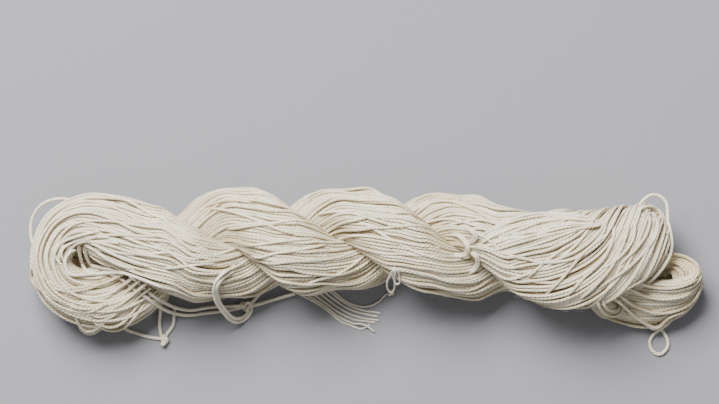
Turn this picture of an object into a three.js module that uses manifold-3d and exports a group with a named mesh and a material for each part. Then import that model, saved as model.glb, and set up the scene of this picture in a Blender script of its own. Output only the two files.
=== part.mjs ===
// A hank of linen yarn, lying on a table. The yarn was wound into a long loop, the loop was twisted,
// folded in half so that its two halves wrapped round each other like a rope of two plies, and one end
// loop was drawn through the other. Single turns stand off it, and yarn ties with cut ends hold it.
//
// Millimetres, +Z up. X runs along the hank, from the fold on the left to the end loops on the right.
// The table is at Z = 0, and the origin is under the middle of the whole object's box.

import * as THREE from "three";
import { mergeVertices } from "three/addons/utils/BufferGeometryUtils.js";
import Module from "manifold-3d";

const wasm = await Module();
wasm.setup();

// Driving dimensions
const YARN = 1.45; // diameter of the plied yarn
const SINGLE = 0.8; // diameter of a cut end, which is thinner yarn
const TWIST_PITCH = 95.3; // length of rope in which a ply goes once round the other
const PLY_OFFSET = 10.5; // from the rope's axis to the middle of a ply
const PLY_ACROSS = 15; // half the size of a ply round the rope
const PLY_DEEP = 11.5; // half the size of a ply out from the rope's axis
const UNDER_SHARE = 0.1; // how much narrower a ply is where it lies under the other, and wider on top
const SAG = 0.88; // height over width of the rope, as its own weight flattens it
const ROPE_HEIGHT = 17.9; // height of the rope's axis over the table
const ROPE_START = -82.3; // X at which ply A first lies straight above ply B
const ROPE_END = 58.4; // X at which both plies leave the rope for the end loops
const SQUARENESS = 0.87; // power of the section's sine and cosine: 1 is an ellipse, less is fuller
const ROPE_LAY = 3.4; // degrees that the yarn turns round its ply in each millimetre of the rope
const FAN_LAY = 2.7; // and of the fan
const GAP = 0.45; // between a tie's middle line, less its radius, and the hank that it lies on
const STEEPEST = 1.6; // steepest slope of a tie that comes off the hank

// Fineness of the solids
const SECTION_POINTS = 24; // points round a ply, twice its ridges
const BAND_POINTS = 16; // points round the thinner bands of the end loops
const RING_STEP = 5.8; // length of ply between two rings of points
const FAN_STEP = 2.8; // and of the fan, whose ridges cross it
const RIDGE = 0.025; // height of a ridge, as a share of the ply's size
const YARN_SIDES = 6;
const END_SIDES = 8;
const TIE_STEP = 1.8; // length of a tie between two rings of points, in diameters
const TURN_STEP = 2.6; // and of a loose turn
const END_STEP = 2.7; // and of a cut end

// The rope's axis: its place across the hank, and how full the plies are out from it and round it.
const ROPE_AXIS = [
  { x: -82.3, y: 7.4, deep: 1.0, across: 1.0 },
  { x: -57.1, y: 12.0, deep: 1.0, across: 1.0 },
  { x: -34.0, y: 10.9, deep: 1.0, across: 1.02 },
  { x: -10.9, y: 13.3, deep: 0.92, across: 0.98 },
  { x: 14.3, y: 12.8, deep: 0.95, across: 0.96 },
  { x: 37.4, y: 10.5, deep: 0.94, across: 0.98 },
  { x: 61.3, y: 8.2, deep: 0.97, across: 1.0 },
];

// Bands: middle of the band, half its width, half its thickness, and how far its width leans from
// level, in degrees, turning down on the right-hand side of the way that it runs.
const FOLD = [
  { x: -94.9, y: 13.0, z: 23.5, wide: 14.6, thick: 10.5, lean: 180 },
  { x: -106.7, y: 17.8, z: 19.8, wide: 13.4, thick: 11.5, lean: 180 },
  { x: -117.4, y: 20.2, z: 16.5, wide: 11.4, thick: 13, lean: 180 },
  { x: -127.2, y: 16.4, z: 15.0, wide: 9.4, thick: 14, lean: 180 },
  { x: -132.2, y: 5.6, z: 14.3, wide: 7.8, thick: 14.5, lean: 180 },
  { x: -128.0, y: -5.4, z: 13.6, wide: 9.6, thick: 13.6, lean: 180 },
  { x: -118.0, y: -10.4, z: 12.2, wide: 11.8, thick: 12.2, lean: 180 },
  { x: -105.8, y: -9.6, z: 10.7, wide: 13.7, thick: 10.7, lean: 180 },
  { x: -93.9, y: -1.6, z: 9.8, wide: 14.0, thick: 9.8, lean: 180 },
];
const FOLD_MEETS = 3; // the rows of the fold before this one go on from ply A
const FAN = [
  { x: 71.0, y: 5.4, z: 27.0, wide: 18.4, thick: 9.4, lean: 0 },
  { x: 83.6, y: 4.3, z: 27.0, wide: 20.4, thick: 9.3, lean: 0 },
  { x: 97.4, y: 6.2, z: 26.5, wide: 19.0, thick: 9.0, lean: 0 },
  { x: 109.6, y: 11.6, z: 25.0, wide: 16.0, thick: 8.4, lean: 0 },
  { x: 117.6, y: 17.0, z: 21.5, wide: 12.2, thick: 7.0, lean: 0 },
];
const TUCK = [
  { x: 108.8, y: 11.4, z: 22.5, wide: 13.0, thick: 6.5, lean: 0 },
  { x: 116.6, y: 16.6, z: 21.0, wide: 12.0, thick: 7.0, lean: 0 },
  { x: 119.2, y: 18.6, z: 14.5, wide: 10.6, thick: 6.4, lean: 180 },
  { x: 113.6, y: 15.4, z: 7.0, wide: 11.8, thick: 5.8, lean: 180 },
  { x: 100.4, y: 9.0, z: 4.4, wide: 13.0, thick: 4.8, lean: 180 },
  { x: 85.7, y: 6.5, z: 4.2, wide: 13.0, thick: 4.6, lean: 180 },
  { x: 72.0, y: 5.7, z: 5.0, wide: 12.0, thick: 4.6, lean: 180 },
];
const UNDER = [
  { x: 103.3, y: -6.9, z: 13.0, wide: 10.0, thick: 7.0, lean: 0 },
  { x: 94.9, y: -4.4, z: 13.5, wide: 11.0, thick: 7.6, lean: 0 },
  { x: 83.6, y: -0.2, z: 13.3, wide: 12.5, thick: 8.2, lean: 0 },
  { x: 71.0, y: 4.0, z: 11.5, wide: 13.6, thick: 9.2, lean: 0 },
];
const END_LOOP = [
  { x: 94.1, y: -5.2, z: 13.0, wide: 9.0, thick: 5.0, lean: 30 },
  { x: 106.7, y: -10.7, z: 12.0, wide: 11.0, thick: 4.2, lean: 38 },
  { x: 119.3, y: -12.8, z: 12.2, wide: 12.0, thick: 3.8, lean: 42 },
  { x: 130.0, y: -10.8, z: 13.2, wide: 10.2, thick: 3.7, lean: 52 },
  { x: 136.6, y: -6.6, z: 12.6, wide: 8.6, thick: 3.5, lean: 68 },
  { x: 138.8, y: -2.2, z: 11.6, wide: 7.8, thick: 3.2, lean: 90 },
  { x: 135.4, y: 1.0, z: 10.4, wide: 7.8, thick: 3.2, lean: 112 },
  { x: 128.5, y: 1.8, z: 9.6, wide: 8.6, thick: 3.2, lean: 130 },
  { x: 119.3, y: 0.8, z: 9.4, wide: 9.0, thick: 3.6, lean: 136 },
  { x: 106.7, y: -2.0, z: 9.8, wide: 9.0, thick: 4.4, lean: 140 },
  { x: 96.2, y: -3.6, z: 11.0, wide: 8.0, thick: 5.0, lean: 150 },
];

// Single turns of yarn that stand off the bundle. Each starts and ends inside it.
const LOOSE_TURNS = {
  upperLeft: [
    [-119.5, 28.0, 15], [-126.0, 30.6, 15], [-132.0, 30.4, 14], [-136.8, 28.2, 13], [-139.8, 24.6, 12],
    [-141.2, 20.6, 11.5], [-141.2, 16.6, 11.5], [-140.4, 12.6, 12], [-136.5, 7.6, 12.5],
  ],
  lowerLeft: [
    [-135.0, 4.5, 11], [-138.9, 2.4, 10], [-140.4, -0.8, 9], [-140.5, -3.4, 8.5], [-139.4, -5.6, 8.5],
    [-136.6, -7.6, 9], [-131.0, -8.6, 10],
  ],
  hangingOuter: [
    [-122.0, -14.0, 5], [-122.8, -18.4, 3.6], [-121.4, -22.4, 2.4], [-119.2, -25.0, 1.6],
    [-116.2, -25.6, 1.4], [-113.0, -24.0, 2], [-109.8, -20.6, 3.4], [-107.4, -15.0, 6],
  ],
  hangingInner: [
    [-119.4, -14.0, 4], [-119.8, -20.2, 3], [-117.0, -23.0, 2.4], [-113.4, -22.4, 3], [-108.8, -19.8, 4.2],
    [-103.0, -13.6, 7],
  ],
  underFold: [
    [-113.0, -18.0, 4], [-111.0, -22.8, 1.6], [-107.2, -24.2, 1], [-103.0, -22.8, 1.2], [-98.8, -20.2, 2],
    [-95.0, -16.6, 4], [-92.6, -10.0, 7],
  ],
  topRight: [
    [109.0, 19.0, 20], [113.6, 25.2, 20], [115.8, 29.2, 21], [118.8, 31.6, 21], [121.8, 32.0, 20.5],
    [124.6, 30.6, 20], [126.2, 28.2, 20], [126.6, 24.6, 20], [126.6, 21.2, 20.5], [127.4, 17.0, 21.5],
    [128.0, 12.2, 22.5], [127.4, 7.4, 23.5], [125.0, 2.6, 24.5], [120.8, -2.6, 24], [115.0, -6.6, 22],
    [109.0, -9.4, 20.5], [102.0, -11.0, 20], [97.0, -9.0, 21],
  ],
  shoulder: [
    [115.0, 22.0, 16], [118.6, 26.6, 17], [122.4, 26.0, 17.5], [124.8, 23.0, 18], [125.8, 19.8, 18],
    [124.6, 16.0, 17], [119.0, 13.0, 16],
  ],
  drop: [
    [131.0, -12.0, 8], [129.4, -19.0, 4.6], [125.8, -22.8, 3.2], [122.6, -25.0, 1.6], [120.7, -27.4, 0.8],
    [120.2, -30.2, 0.8], [121.8, -33.3, 0.8], [124.7, -34.2, 0.8], [127.4, -31.8, 0.8],
    [127.9, -28.8, 0.8], [126.4, -25.4, 0.9], [124.0, -22.4, 1.2], [120.6, -19.4, 3], [116.0, -14.0, 8],
  ],
  underFanOuter: [
    [95.0, -7.0, 11], [95.4, -13.6, 6], [98.2, -17.0, 3], [101.2, -18.6, 1.6], [104.2, -18.4, 1.6],
    [106.2, -16.2, 3], [106.4, -10.0, 8],
  ],
  underFanInner: [
    [98.0, -6.0, 11], [98.6, -13.0, 6], [100.6, -15.4, 4], [102.8, -15.6, 4], [103.8, -8.0, 8],
  ],
};

// Ties: strands of yarn by X and Y, and knots. A strand in over lies on the hank, or on the table beside
// it. One in under lies on the table, also where the hank bulges out over it. A third number holds a
// strand higher than that.
const TIES = {
  fold_tie: {
    diameter: YARN,
    over: [],
    under: [
      [[-100.6, -24.1], [-97.0, -25.3], [-93.9, -26.4], [-90.3, -27.2], [-85.3, -27.8]],
      [[-85.2, -28.0], [-86.5, -26.7], [-87.4, -21.4, 1.6], [-87.1, -17.2, 3], [-86.8, -13.6, 5]],
      [[-85.2, -28.0], [-84.2, -25.6], [-81.7, -22.0], [-81.3, -18.3, 1.6], [-80.7, -14.0, 3.4]],
    ],
    knots: [{ x: -85.2, y: -28.4, z: 1.5, long: 2.5, wide: 1.35, high: 1.45, turn: 80 }],
  },
  eye_tie: {
    diameter: YARN,
    over: [
      [[-119.9, 9.6, 14], [-119.7, 6.3, 17], [-118.9, 2.7], [-117.0, 0.1], [-113.5, -1.2],
        [-107.7, -0.8], [-101.1, -1.2], [-94.5, -3.4], [-87.9, -6.1], [-81.2, -8.3]],
      [[-117.6, 8.6, 15], [-117.0, 5.8, 18], [-115.2, 2.7], [-110.9, 1.5], [-105.5, 0.2], [-101.2, -1.4]],
      [[-121.6, 8.6, 15], [-123.6, 7.6], [-125.4, 4.5], [-125.2, 1.0], [-123.2, -1.7], [-118.8, -1.9],
        [-113.5, -1.2]],
      [[-98.3, -2.3], [-94.9, -5.2], [-90.3, -9.4], [-84.9, -12.8, 7], [-79.8, -14.9, 5], [-73.9, -15.7, 4],
        [-68.7, -14.9, 3.6], [-63.9, -14.3, 3.4], [-58.0, -14.1, 3], [-51.0, -13.4, 2.4]],
      [[-107.7, -0.8], [-101.7, -3.8], [-97.0, -7.5], [-91.8, -11.1], [-86.5, -14.9, 5], [-81.3, -17.0, 3],
        [-75.0, -17.8, 2], [-68.7, -17.0, 1.6], [-62.4, -16.2, 1.4], [-57.6, -15.6, 1.4], [-51.0, -14.0, 1.6]],
      [[-50.6, -13.6, 1.6], [-48.5, -14.7], [-49.2, -17.2], [-51.3, -19.5], [-54.6, -20.8], [-57.6, -19.7, 1.8],
        [-59.7, -17.4, 3.2], [-61.6, -14.9, 5.4], [-62.9, -12.2, 9], [-63.3, -8.6], [-62.6, -5.4],
        [-60.4, -2.6], [-57.6, -0.4], [-55.4, 1.1]],
    ],
    under: [
      [[-50.6, -13.4, 2], [-48.3, -12.4, 2.2], [-45.6, -9.4, 2.4], [-43.6, -7.0, 2.6]],
      [[-50.6, -13.8, 2], [-48.3, -13.7, 2], [-44.5, -12.8, 2.2], [-40.3, -11.5, 2.4], [-35.0, -10.0, 2.6],
        [-30.0, -8.6, 2.6]],
    ],
    knots: [{ x: -50.8, y: -13.7, z: 2.1, long: 2.6, wide: 2.1, high: 1.9, turn: 0 }],
  },
  edge_tie: {
    diameter: SINGLE,
    over: [],
    under: [
      [[-18.5, -3.1], [-15.1, -6.3], [-11.8, -9.2], [-8.4, -11.8], [-5.0, -13.3], [-1.7, -14.1],
        [0.8, -13.9], [3.4, -13.1], [5.9, -11.5], [7.6, -9.7], [8.8, -8.6], [10.4, -8.4]],
      [[11.4, -5.4, 7], [9.8, -5.6, 3], [9.2, -7.1, 1.2], [10.5, -8.6, 0.6], [11.8, -7.5, 1.2],
        [12.2, -6.2, 4], [12.2, -5.4, 8]],
      [[12.2, -5.9, 6], [12.0, -6.8, 3], [12.8, -7.8, 1.6], [14.2, -7.6, 1.6], [14.6, -6.6, 4],
        [14.2, -6.0, 8]],
    ],
    knots: [],
  },
  fan_tie: {
    diameter: YARN,
    over: [
      [[34.2, 14.9], [37.4, 14.5], [39.5, 13.2], [40.9, 11.6], [42.0, 9.5], [42.0, 7.4], [40.5, 6.5],
        [37.4, 6.5], [34.9, 6.7]],
      [[38.4, 17.0], [40.7, 17.4], [42.8, 16.4], [44.4, 14.9], [45.4, 13.2], [43.7, 11.9], [41.0, 11.2]],
      [[41.8, 8.2], [43.3, 7.4], [44.9, 6.2], [46.2, 4.1], [45.9, 1.7], [44.4, 0.2], [42.0, -0.4]],
    ],
    under: [],
    knots: [],
  },
};

// Cut ends that lie on the table, by X, Y and, where they pass over each other, height.
const CUT_ENDS = [
  [[-31.9, -5.2], [-27.3, -9.2], [-24.4, -10.6], [-20.2, -13.0], [-16.4, -15.6], [-13.4, -18.2],
    [-10.1, -20.6], [-5.9, -22.2], [-2.5, -23.5], [-0.6, -23.0], [1.6, -21.7]],
  [[-28.9, -5.2], [-25.7, -8.4], [-21.8, -11.0], [-18.0, -13.3], [-14.7, -15.9], [-11.7, -18.2],
    [-8.4, -20.0], [-4.9, -21.3, 0.8], [-1.8, -21.5, 1.6], [1.3, -22.9, 1.5], [3.4, -24.6, 0.6]],
  [[-26.9, -4.6], [-22.2, -8.8], [-18.1, -11.8], [-14.4, -14.5], [-11.3, -16.6], [-7.6, -18.5],
    [-4.2, -19.7], [-0.2, -20.2], [3.9, -20.8]],
  [[-25.2, -3.4], [-20.6, -7.5], [-16.8, -10.6], [-13.0, -13.5], [-9.2, -15.9], [-5.9, -17.5],
    [-1.7, -18.8], [1.7, -19.4], [5.5, -19.9]],
  [[-23.5, -2.3], [-19.3, -6.3], [-15.5, -9.5], [-11.8, -12.2], [-8.4, -14.4], [-4.2, -16.2],
    [0.8, -17.4], [5.0, -18.2]],
  [[-21.4, -1.7], [-17.3, -5.6], [-13.9, -8.7], [-10.6, -11.3], [-7.4, -13.3], [-4.2, -14.7],
    [-1.3, -15.6], [1.4, -16.1], [3.6, -16.3], [6.1, -16.9]],
];

const DEG = Math.PI / 180;
const UP = new THREE.Vector3(0, 0, 1);

// Value between four keys in a row, by a smooth curve that passes through them.
function smooth(k0, k1, k2, k3, t) {
  const a = -0.5 * k0 + 1.5 * k1 - 1.5 * k2 + 0.5 * k3;
  const b = k0 - 2.5 * k1 + 2 * k2 - 0.5 * k3;
  const c = -0.5 * k0 + 0.5 * k2;
  return ((a * t + b) * t + c) * t + k1;
}

function smoothAt(keys, i, t) {
  const key = (n) => keys[THREE.MathUtils.clamp(n, 0, keys.length - 1)];
  return smooth(key(i - 1), key(i), key(i + 1), key(i + 2), t);
}

// One named column of the rope's table at a place along X.
function alongRope(column, x) {
  let row = 0;
  while (row < ROPE_AXIS.length - 2 && x > ROPE_AXIS[row + 1].x) row += 1;
  const t = (x - ROPE_AXIS[row].x) / (ROPE_AXIS[row + 1].x - ROPE_AXIS[row].x);
  return smoothAt(ROPE_AXIS.map((r) => r[column]), row, t);
}

const PLY_A = { phase: 0, outward: 1 };
const PLY_B = { phase: 180, outward: -1 };

// A station of a ply: its middle, the two half axes of its section, how fast its yarn turns there, and
// the length of ply to the next ring of points.
function ropeStation(x, ply) {
  const turn = (90 + ply.phase + ((x - ROPE_START) / TWIST_PITCH) * 360) * DEG;
  const deep = alongRope("deep", x);
  const across = alongRope("across", x) * PLY_ACROSS * (1 + UNDER_SHARE * Math.sin(turn));
  const out = new THREE.Vector3(0, Math.cos(turn), SAG * Math.sin(turn));
  const round = new THREE.Vector3(0, -Math.sin(turn), SAG * Math.cos(turn));
  const middle = new THREE.Vector3(x, alongRope("y", x), ROPE_HEIGHT);
  return {
    middle: middle.addScaledVector(out, PLY_OFFSET * deep),
    u: round.multiplyScalar(across),
    v: out.multiplyScalar(PLY_DEEP * deep * ply.outward),
    lay: ROPE_LAY,
    step: RING_STEP,
  };
}

function ropeStations(ply, from, to) {
  const gaps = 12;
  return Array.from({ length: gaps + 1 }, (_, i) => ropeStation(from + ((to - from) * i) / gaps, ply));
}

// Stations of a band that a table gives, each section square to the way that the band runs.
function bandStations(rows, lay = 0, step = RING_STEP) {
  const middles = rows.map((r) => new THREE.Vector3(r.x, r.y, r.z));
  return rows.map((row, i) => {
    const before = middles[Math.max(i - 1, 0)];
    const after = middles[Math.min(i + 1, rows.length - 1)];
    const run = after.clone().sub(before).normalize();
    const right = new THREE.Vector3(run.x, run.y, 0).cross(UP).normalize();
    const down = run.clone().cross(right).normalize();
    const lean = row.lean * DEG;
    const u = right.multiplyScalar(Math.cos(lean)).addScaledVector(down, Math.sin(lean));
    const v = run.clone().cross(u).normalize();
    return { middle: middles[i], u: u.multiplyScalar(row.wide), v: v.multiplyScalar(row.thick), lay, step };
  });
}

// Stations about their own step apart, on smooth curves through the given ones.
function evenly(stations) {
  const vectorAt = (name, i, t) =>
    new THREE.Vector3(...["x", "y", "z"].map((axis) => smoothAt(stations.map((s) => s[name][axis]), i, t)));
  const stationAt = (i, t) => ({
    middle: vectorAt("middle", i, t),
    u: vectorAt("u", i, t),
    v: vectorAt("v", i, t),
    lay: THREE.MathUtils.lerp(stations[i].lay, stations[i + 1].lay, t),
  });
  const out = [];
  for (let i = 0; i < stations.length - 1; i += 1) {
    const gap = stations[i].middle.distanceTo(stations[i + 1].middle);
    const parts = Math.max(1, Math.round(gap / Math.min(stations[i].step, stations[i + 1].step)));
    for (let p = 0; p < parts; p += 1) out.push(stationAt(i, p / parts));
  }
  out.push(stationAt(stations.length - 2, 1));
  return out;
}

// Points round one section, turned by an angle, with low ridges, and flat where they meet the table.
function ringOf(station, points, turn) {
  return Array.from({ length: points }, (_, j) => {
    const angle = (j / points) * 2 * Math.PI + turn;
    const full = (value) => Math.sign(value) * Math.abs(value) ** SQUARENESS;
    const size = 1 + (j % 2 ? -RIDGE : RIDGE);
    const point = station.middle
      .clone()
      .addScaledVector(station.u, full(Math.cos(angle)) * size)
      .addScaledVector(station.v, full(Math.sin(angle)) * size);
    point.z = Math.max(point.z, 0);
    return point;
  });
}

function solidOf(geometry) {
  geometry.deleteAttribute("normal");
  geometry.deleteAttribute("uv");
  const merged = mergeVertices(geometry, 1e-3);
  return new wasm.Manifold(
    new wasm.Mesh({
      numProp: 3,
      vertProperties: merged.attributes.position.array,
      triVerts: new Uint32Array(merged.index.array),
    }),
  );
}

function geometryOf(solid) {
  const mesh = solid.getMesh();
  return new THREE.BufferGeometry()
    .setAttribute("position", new THREE.BufferAttribute(new Float32Array(mesh.vertProperties), 3))
    .setIndex(new THREE.BufferAttribute(new Uint32Array(mesh.triVerts), 1));
}

// A closed skin over rings of points, with a fan of faces over each end.
function skinOver(rings) {
  const points = rings[0].length;
  const last = rings.length - 1;
  const index = [];
  for (let i = 0; i < last; i += 1) {
    for (let j = 0; j < points; j += 1) {
      const next = (j + 1) % points;
      const [a, b] = [i * points + j, i * points + next];
      index.push(a, b, a + points, b, b + points, a + points);
    }
  }
  const middleOf = (ring) => ring.reduce((sum, p) => sum.add(p), new THREE.Vector3()).divideScalar(points);
  const cap = rings.length * points;
  for (let j = 0; j < points; j += 1) {
    const next = (j + 1) % points;
    index.push(cap, next, j, cap + 1, last * points + j, last * points + next);
  }
  const corners = [...rings.flat(), middleOf(rings[0]), middleOf(rings[last])];
  return new THREE.BufferGeometry()
    .setAttribute("position", new THREE.Float32BufferAttribute(corners.flatMap((p) => [p.x, p.y, p.z]), 3))
    .setIndex(index);
}

// A bundle of yarn through stations, whose ridges turn as the yarn does.
function bundle(stations, points) {
  const rings = [];
  let turn = 0;
  let last = null;
  for (const station of evenly(stations)) {
    if (last) turn -= station.lay * station.middle.distanceTo(last.middle);
    rings.push(ringOf(station, points, turn * DEG));
    last = station;
  }
  return solidOf(skinOver(rings));
}

// A strand of yarn through points.
function strand(points, diameter, sides, step) {
  const path = new THREE.CatmullRomCurve3(points);
  const section = new THREE.Shape(
    Array.from({ length: sides }, (_, i) => {
      const angle = (i / sides) * 2 * Math.PI;
      return new THREE.Vector2((Math.cos(angle) * diameter) / 2, (Math.sin(angle) * diameter) / 2);
    }),
  );
  const steps = Math.round(path.getLength() / (step * diameter));
  return new THREE.ExtrudeGeometry(section, { steps, extrudePath: path, bevelEnabled: false });
}

function hankSolid() {
  const fold = bandStations(FOLD);
  const plyA = [...bandStations(UNDER, FAN_LAY), ...ropeStations(PLY_A, ROPE_END, ROPE_START)];
  const plyB = [...ropeStations(PLY_B, ROPE_START, ROPE_END), ...bandStations(FAN, FAN_LAY, FAN_STEP)];
  const bodies = [
    bundle([...plyA, ...fold.slice(0, FOLD_MEETS + 2)], SECTION_POINTS),
    bundle([...fold.slice(FOLD_MEETS), ...plyB], SECTION_POINTS),
    bundle(bandStations(TUCK), BAND_POINTS),
    bundle(bandStations(END_LOOP), BAND_POINTS),
  ];
  for (const rows of Object.values(LOOSE_TURNS)) {
    const points = rows.map((row) => new THREE.Vector3(...row));
    bodies.push(solidOf(strand(points, YARN, YARN_SIDES, TURN_STEP)));
  }
  return outerSkin(bodies.reduce((sum, body) => sum.add(body)));
}

// A solid without the small hollows that its joined bodies close in. Points under a micron apart are
// merged each time, which can close in another.
function outerSkin(solid) {
  const bodies = solidOf(geometryOf(solid)).decompose();
  const largest = bodies.reduce((best, body) => (body.volume() > best.volume() ? body : best));
  return bodies.length > 1 ? outerSkin(largest) : largest;
}

// Height of a solid's upper surface over a place on the table, or 0 beside it.
function heightFinder(geometry) {
  const corner = geometry.attributes.position;
  const order = geometry.index;
  const faces = [];
  for (let i = 0; i < order.count; i += 3) {
    const at = [0, 1, 2].map((n) => new THREE.Vector3().fromBufferAttribute(corner, order.getX(i + n)));
    faces.push({ at, box: new THREE.Box3().setFromPoints(at) });
  }
  return (x, y) => {
    let highest = 0;
    for (const { at: [a, b, c], box } of faces) {
      if (x < box.min.x || x > box.max.x || y < box.min.y || y > box.max.y || box.max.z < highest) continue;
      const area = (b.x - a.x) * (c.y - a.y) - (c.x - a.x) * (b.y - a.y);
      const s = ((x - a.x) * (c.y - a.y) - (c.x - a.x) * (y - a.y)) / area;
      const t = ((b.x - a.x) * (y - a.y) - (x - a.x) * (b.y - a.y)) / area;
      if (s >= 0 && t >= 0 && s + t <= 1) highest = Math.max(highest, a.z + s * (b.z - a.z) + t * (c.z - a.z));
    }
    return highest;
  };
}

// Points of a strand on the table, or held at its own heights.
function laidOnTable(rows, diameter) {
  const plan = new THREE.CatmullRomCurve3(rows.map(([x, y, z]) => new THREE.Vector3(x, y, z ?? diameter / 2)));
  const points = plan.getSpacedPoints(Math.round(plan.getLength() / (TIE_STEP * diameter)));
  for (const point of points) point.z = Math.max(point.z, diameter / 2);
  return points;
}

// Points of a strand laid over what heightAt gives as well, no steeper than yarn hangs.
function laidOver(rows, diameter, heightAt) {
  const reach = diameter / 2 + GAP;
  const points = laidOnTable(rows, diameter);
  const places = [0];
  points.forEach((point, i) => {
    if (i) places.push(places[i - 1] + Math.hypot(point.x - points[i - 1].x, point.y - points[i - 1].y));
    const sides = [[0, 0], [reach, 0], [-reach, 0], [0, reach], [0, -reach]];
    const under = Math.max(...sides.map(([dx, dy]) => heightAt(point.x + dx, point.y + dy)));
    point.z = Math.max(point.z, under > 0 ? under + reach : 0);
  });
  return points.map((point, i) => {
    const held = points.map((other, j) => other.z - STEEPEST * Math.abs(places[i] - places[j]));
    return point.clone().setZ(Math.max(...held));
  });
}

function knot({ x, y, z, long, wide, high, turn }) {
  const geometry = new THREE.SphereGeometry(1, 10, 7);
  geometry.scale(long, wide, high).rotateZ(turn * DEG).translate(x, y, z);
  return solidOf(geometry);
}

function tieSolid({ diameter, over, under, knots }, heightAt) {
  const laid = over.map((rows) => laidOver(rows, diameter, heightAt));
  laid.push(...under.map((rows) => laidOnTable(rows, diameter)));
  const bodies = laid.map((points) => solidOf(strand(points, diameter, YARN_SIDES, TIE_STEP)));
  return [...bodies, ...knots.map(knot)].reduce((sum, body) => sum.add(body));
}

function cutEnd(rows) {
  return strand(laidOnTable(rows, SINGLE), SINGLE, END_SIDES, END_STEP);
}

const plied = new THREE.MeshStandardMaterial({ color: 0xe6dfd0, roughness: 0.85, metalness: 0 });
const tieYarn = new THREE.MeshStandardMaterial({ color: 0xebe6da, roughness: 0.85, metalness: 0 });

const part = new THREE.Group();
function addPiece(name, geometry, material) {
  const mesh = new THREE.Mesh(geometry, material);
  mesh.name = name;
  part.add(mesh);
}

const hank = geometryOf(hankSolid());
addPiece("hank", hank, plied);
const heightAt = heightFinder(hank);
for (const [name, tie] of Object.entries(TIES)) addPiece(name, geometryOf(tieSolid(tie, heightAt)), tieYarn);
CUT_ENDS.forEach((rows, i) => addPiece(`cut_end_${i + 1}`, cutEnd(rows), tieYarn));

export default part;
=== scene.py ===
"""A hank of linen yarn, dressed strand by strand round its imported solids.

The yarn was wound into a long loop, the loop was twisted and folded in half, and its two halves wrapped
round each other as a rope of two plies. Every strand that shows is a tube of yarn that follows its ply.
Sizes are in metres, and the tables are in millimetres. They follow the solids, apart from the lays of the
yarn, some strands of the ties, and the turns that only lie over the bundle or deep in it.
"""

import math
from collections import namedtuple

import bpy
import numpy as np
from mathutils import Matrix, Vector
from mathutils.bvhtree import BVHTree


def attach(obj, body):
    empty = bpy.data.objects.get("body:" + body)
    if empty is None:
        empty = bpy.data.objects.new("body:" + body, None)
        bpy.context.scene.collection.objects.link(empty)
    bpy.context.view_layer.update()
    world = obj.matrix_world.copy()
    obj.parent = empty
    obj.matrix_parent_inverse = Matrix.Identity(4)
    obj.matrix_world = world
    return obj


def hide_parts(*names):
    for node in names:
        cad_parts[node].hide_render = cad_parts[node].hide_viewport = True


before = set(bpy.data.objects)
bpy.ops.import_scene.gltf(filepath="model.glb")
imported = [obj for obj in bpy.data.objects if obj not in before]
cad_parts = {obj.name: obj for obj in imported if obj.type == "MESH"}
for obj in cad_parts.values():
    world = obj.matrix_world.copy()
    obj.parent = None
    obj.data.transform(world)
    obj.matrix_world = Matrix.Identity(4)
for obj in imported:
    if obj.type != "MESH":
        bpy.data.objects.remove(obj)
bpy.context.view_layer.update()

bl_info = {
    "name": "Linen hank",
    "version": (1, 0, 0),
    "blender": (4, 5, 0),
    "location": "View3D > Sidebar > Hank",
    "description": "Makes the yarn, ties and cut ends of a twisted hank of linen",
    "category": "Add Mesh",
}

MM = 0.001
ROOT = "root"

# The rope
TWIST_PITCH = 95.3  # length of rope in which a ply goes once round the other
PLY_OFFSET = 10.5  # from the rope's axis to the middle of a ply
PLY_ACROSS = 15  # half the size of a ply round the rope
PLY_DEEP = 11.5  # half the size of a ply out from the rope's axis
UNDER_SHARE = 0.1  # how much narrower a ply is where it lies under the other, and wider on top
SAG = 0.88  # height over width of the rope
ROPE_HEIGHT = 17.9  # height of the rope's axis over the table
ROPE_START = -82.3  # X at which ply A first lies straight above ply B
ROPE_END = 58.4  # X at which both plies leave the rope
SQUARENESS = 0.87  # power of the section's sine and cosine
ROPE_LAY = 4.4  # degrees that the yarn turns round its ply in each millimetre of the rope
ROPE_START_LAY = 2.0  # and where a ply leaves the rope for the fold
ROPE_END_LAY = 3.2  # and for the fan
UNDER_LAY = 1.5  # and under the fan
FAN_LAY = [1.5, 1.5, 2.4, 3.6, 4.2]  # and at each row of the fan
TUCK_LAY = [4.0, 3.0, 2.0, 1.5, 1.5]  # and of its tucked end
FOLD_LAY = [0.2, 0.2, 0.0, 0.0, 0.0, 0.0, 0.0, 0.2, 0.6]  # and of the fold
LAY_EASE = 12  # length of rope in which the lay changes where a ply leaves it, and twice that at the fold
ROPE_SLACK = 1.2  # how freely the strands wander along the plies
FOLD_SLACK = 1.3  # and round the fold
FAN_SLACK = 1.3  # and on the fan
LOOP_SLACK = 2.0  # and in the end loop
ROPE_GAPS = 12  # between the stations of a ply

RopeRow = namedtuple("RopeRow", "x y deep across")
ROPE_AXIS = [
    RopeRow(-82.3, 7.4, 1.0, 1.0),
    RopeRow(-57.1, 12.0, 1.0, 1.0),
    RopeRow(-34.0, 10.9, 1.0, 1.02),
    RopeRow(-10.9, 13.3, 0.92, 0.98),
    RopeRow(14.3, 12.8, 0.95, 0.96),
    RopeRow(37.4, 10.5, 0.94, 0.98),
    RopeRow(61.3, 8.2, 0.97, 1.0),
]

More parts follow.
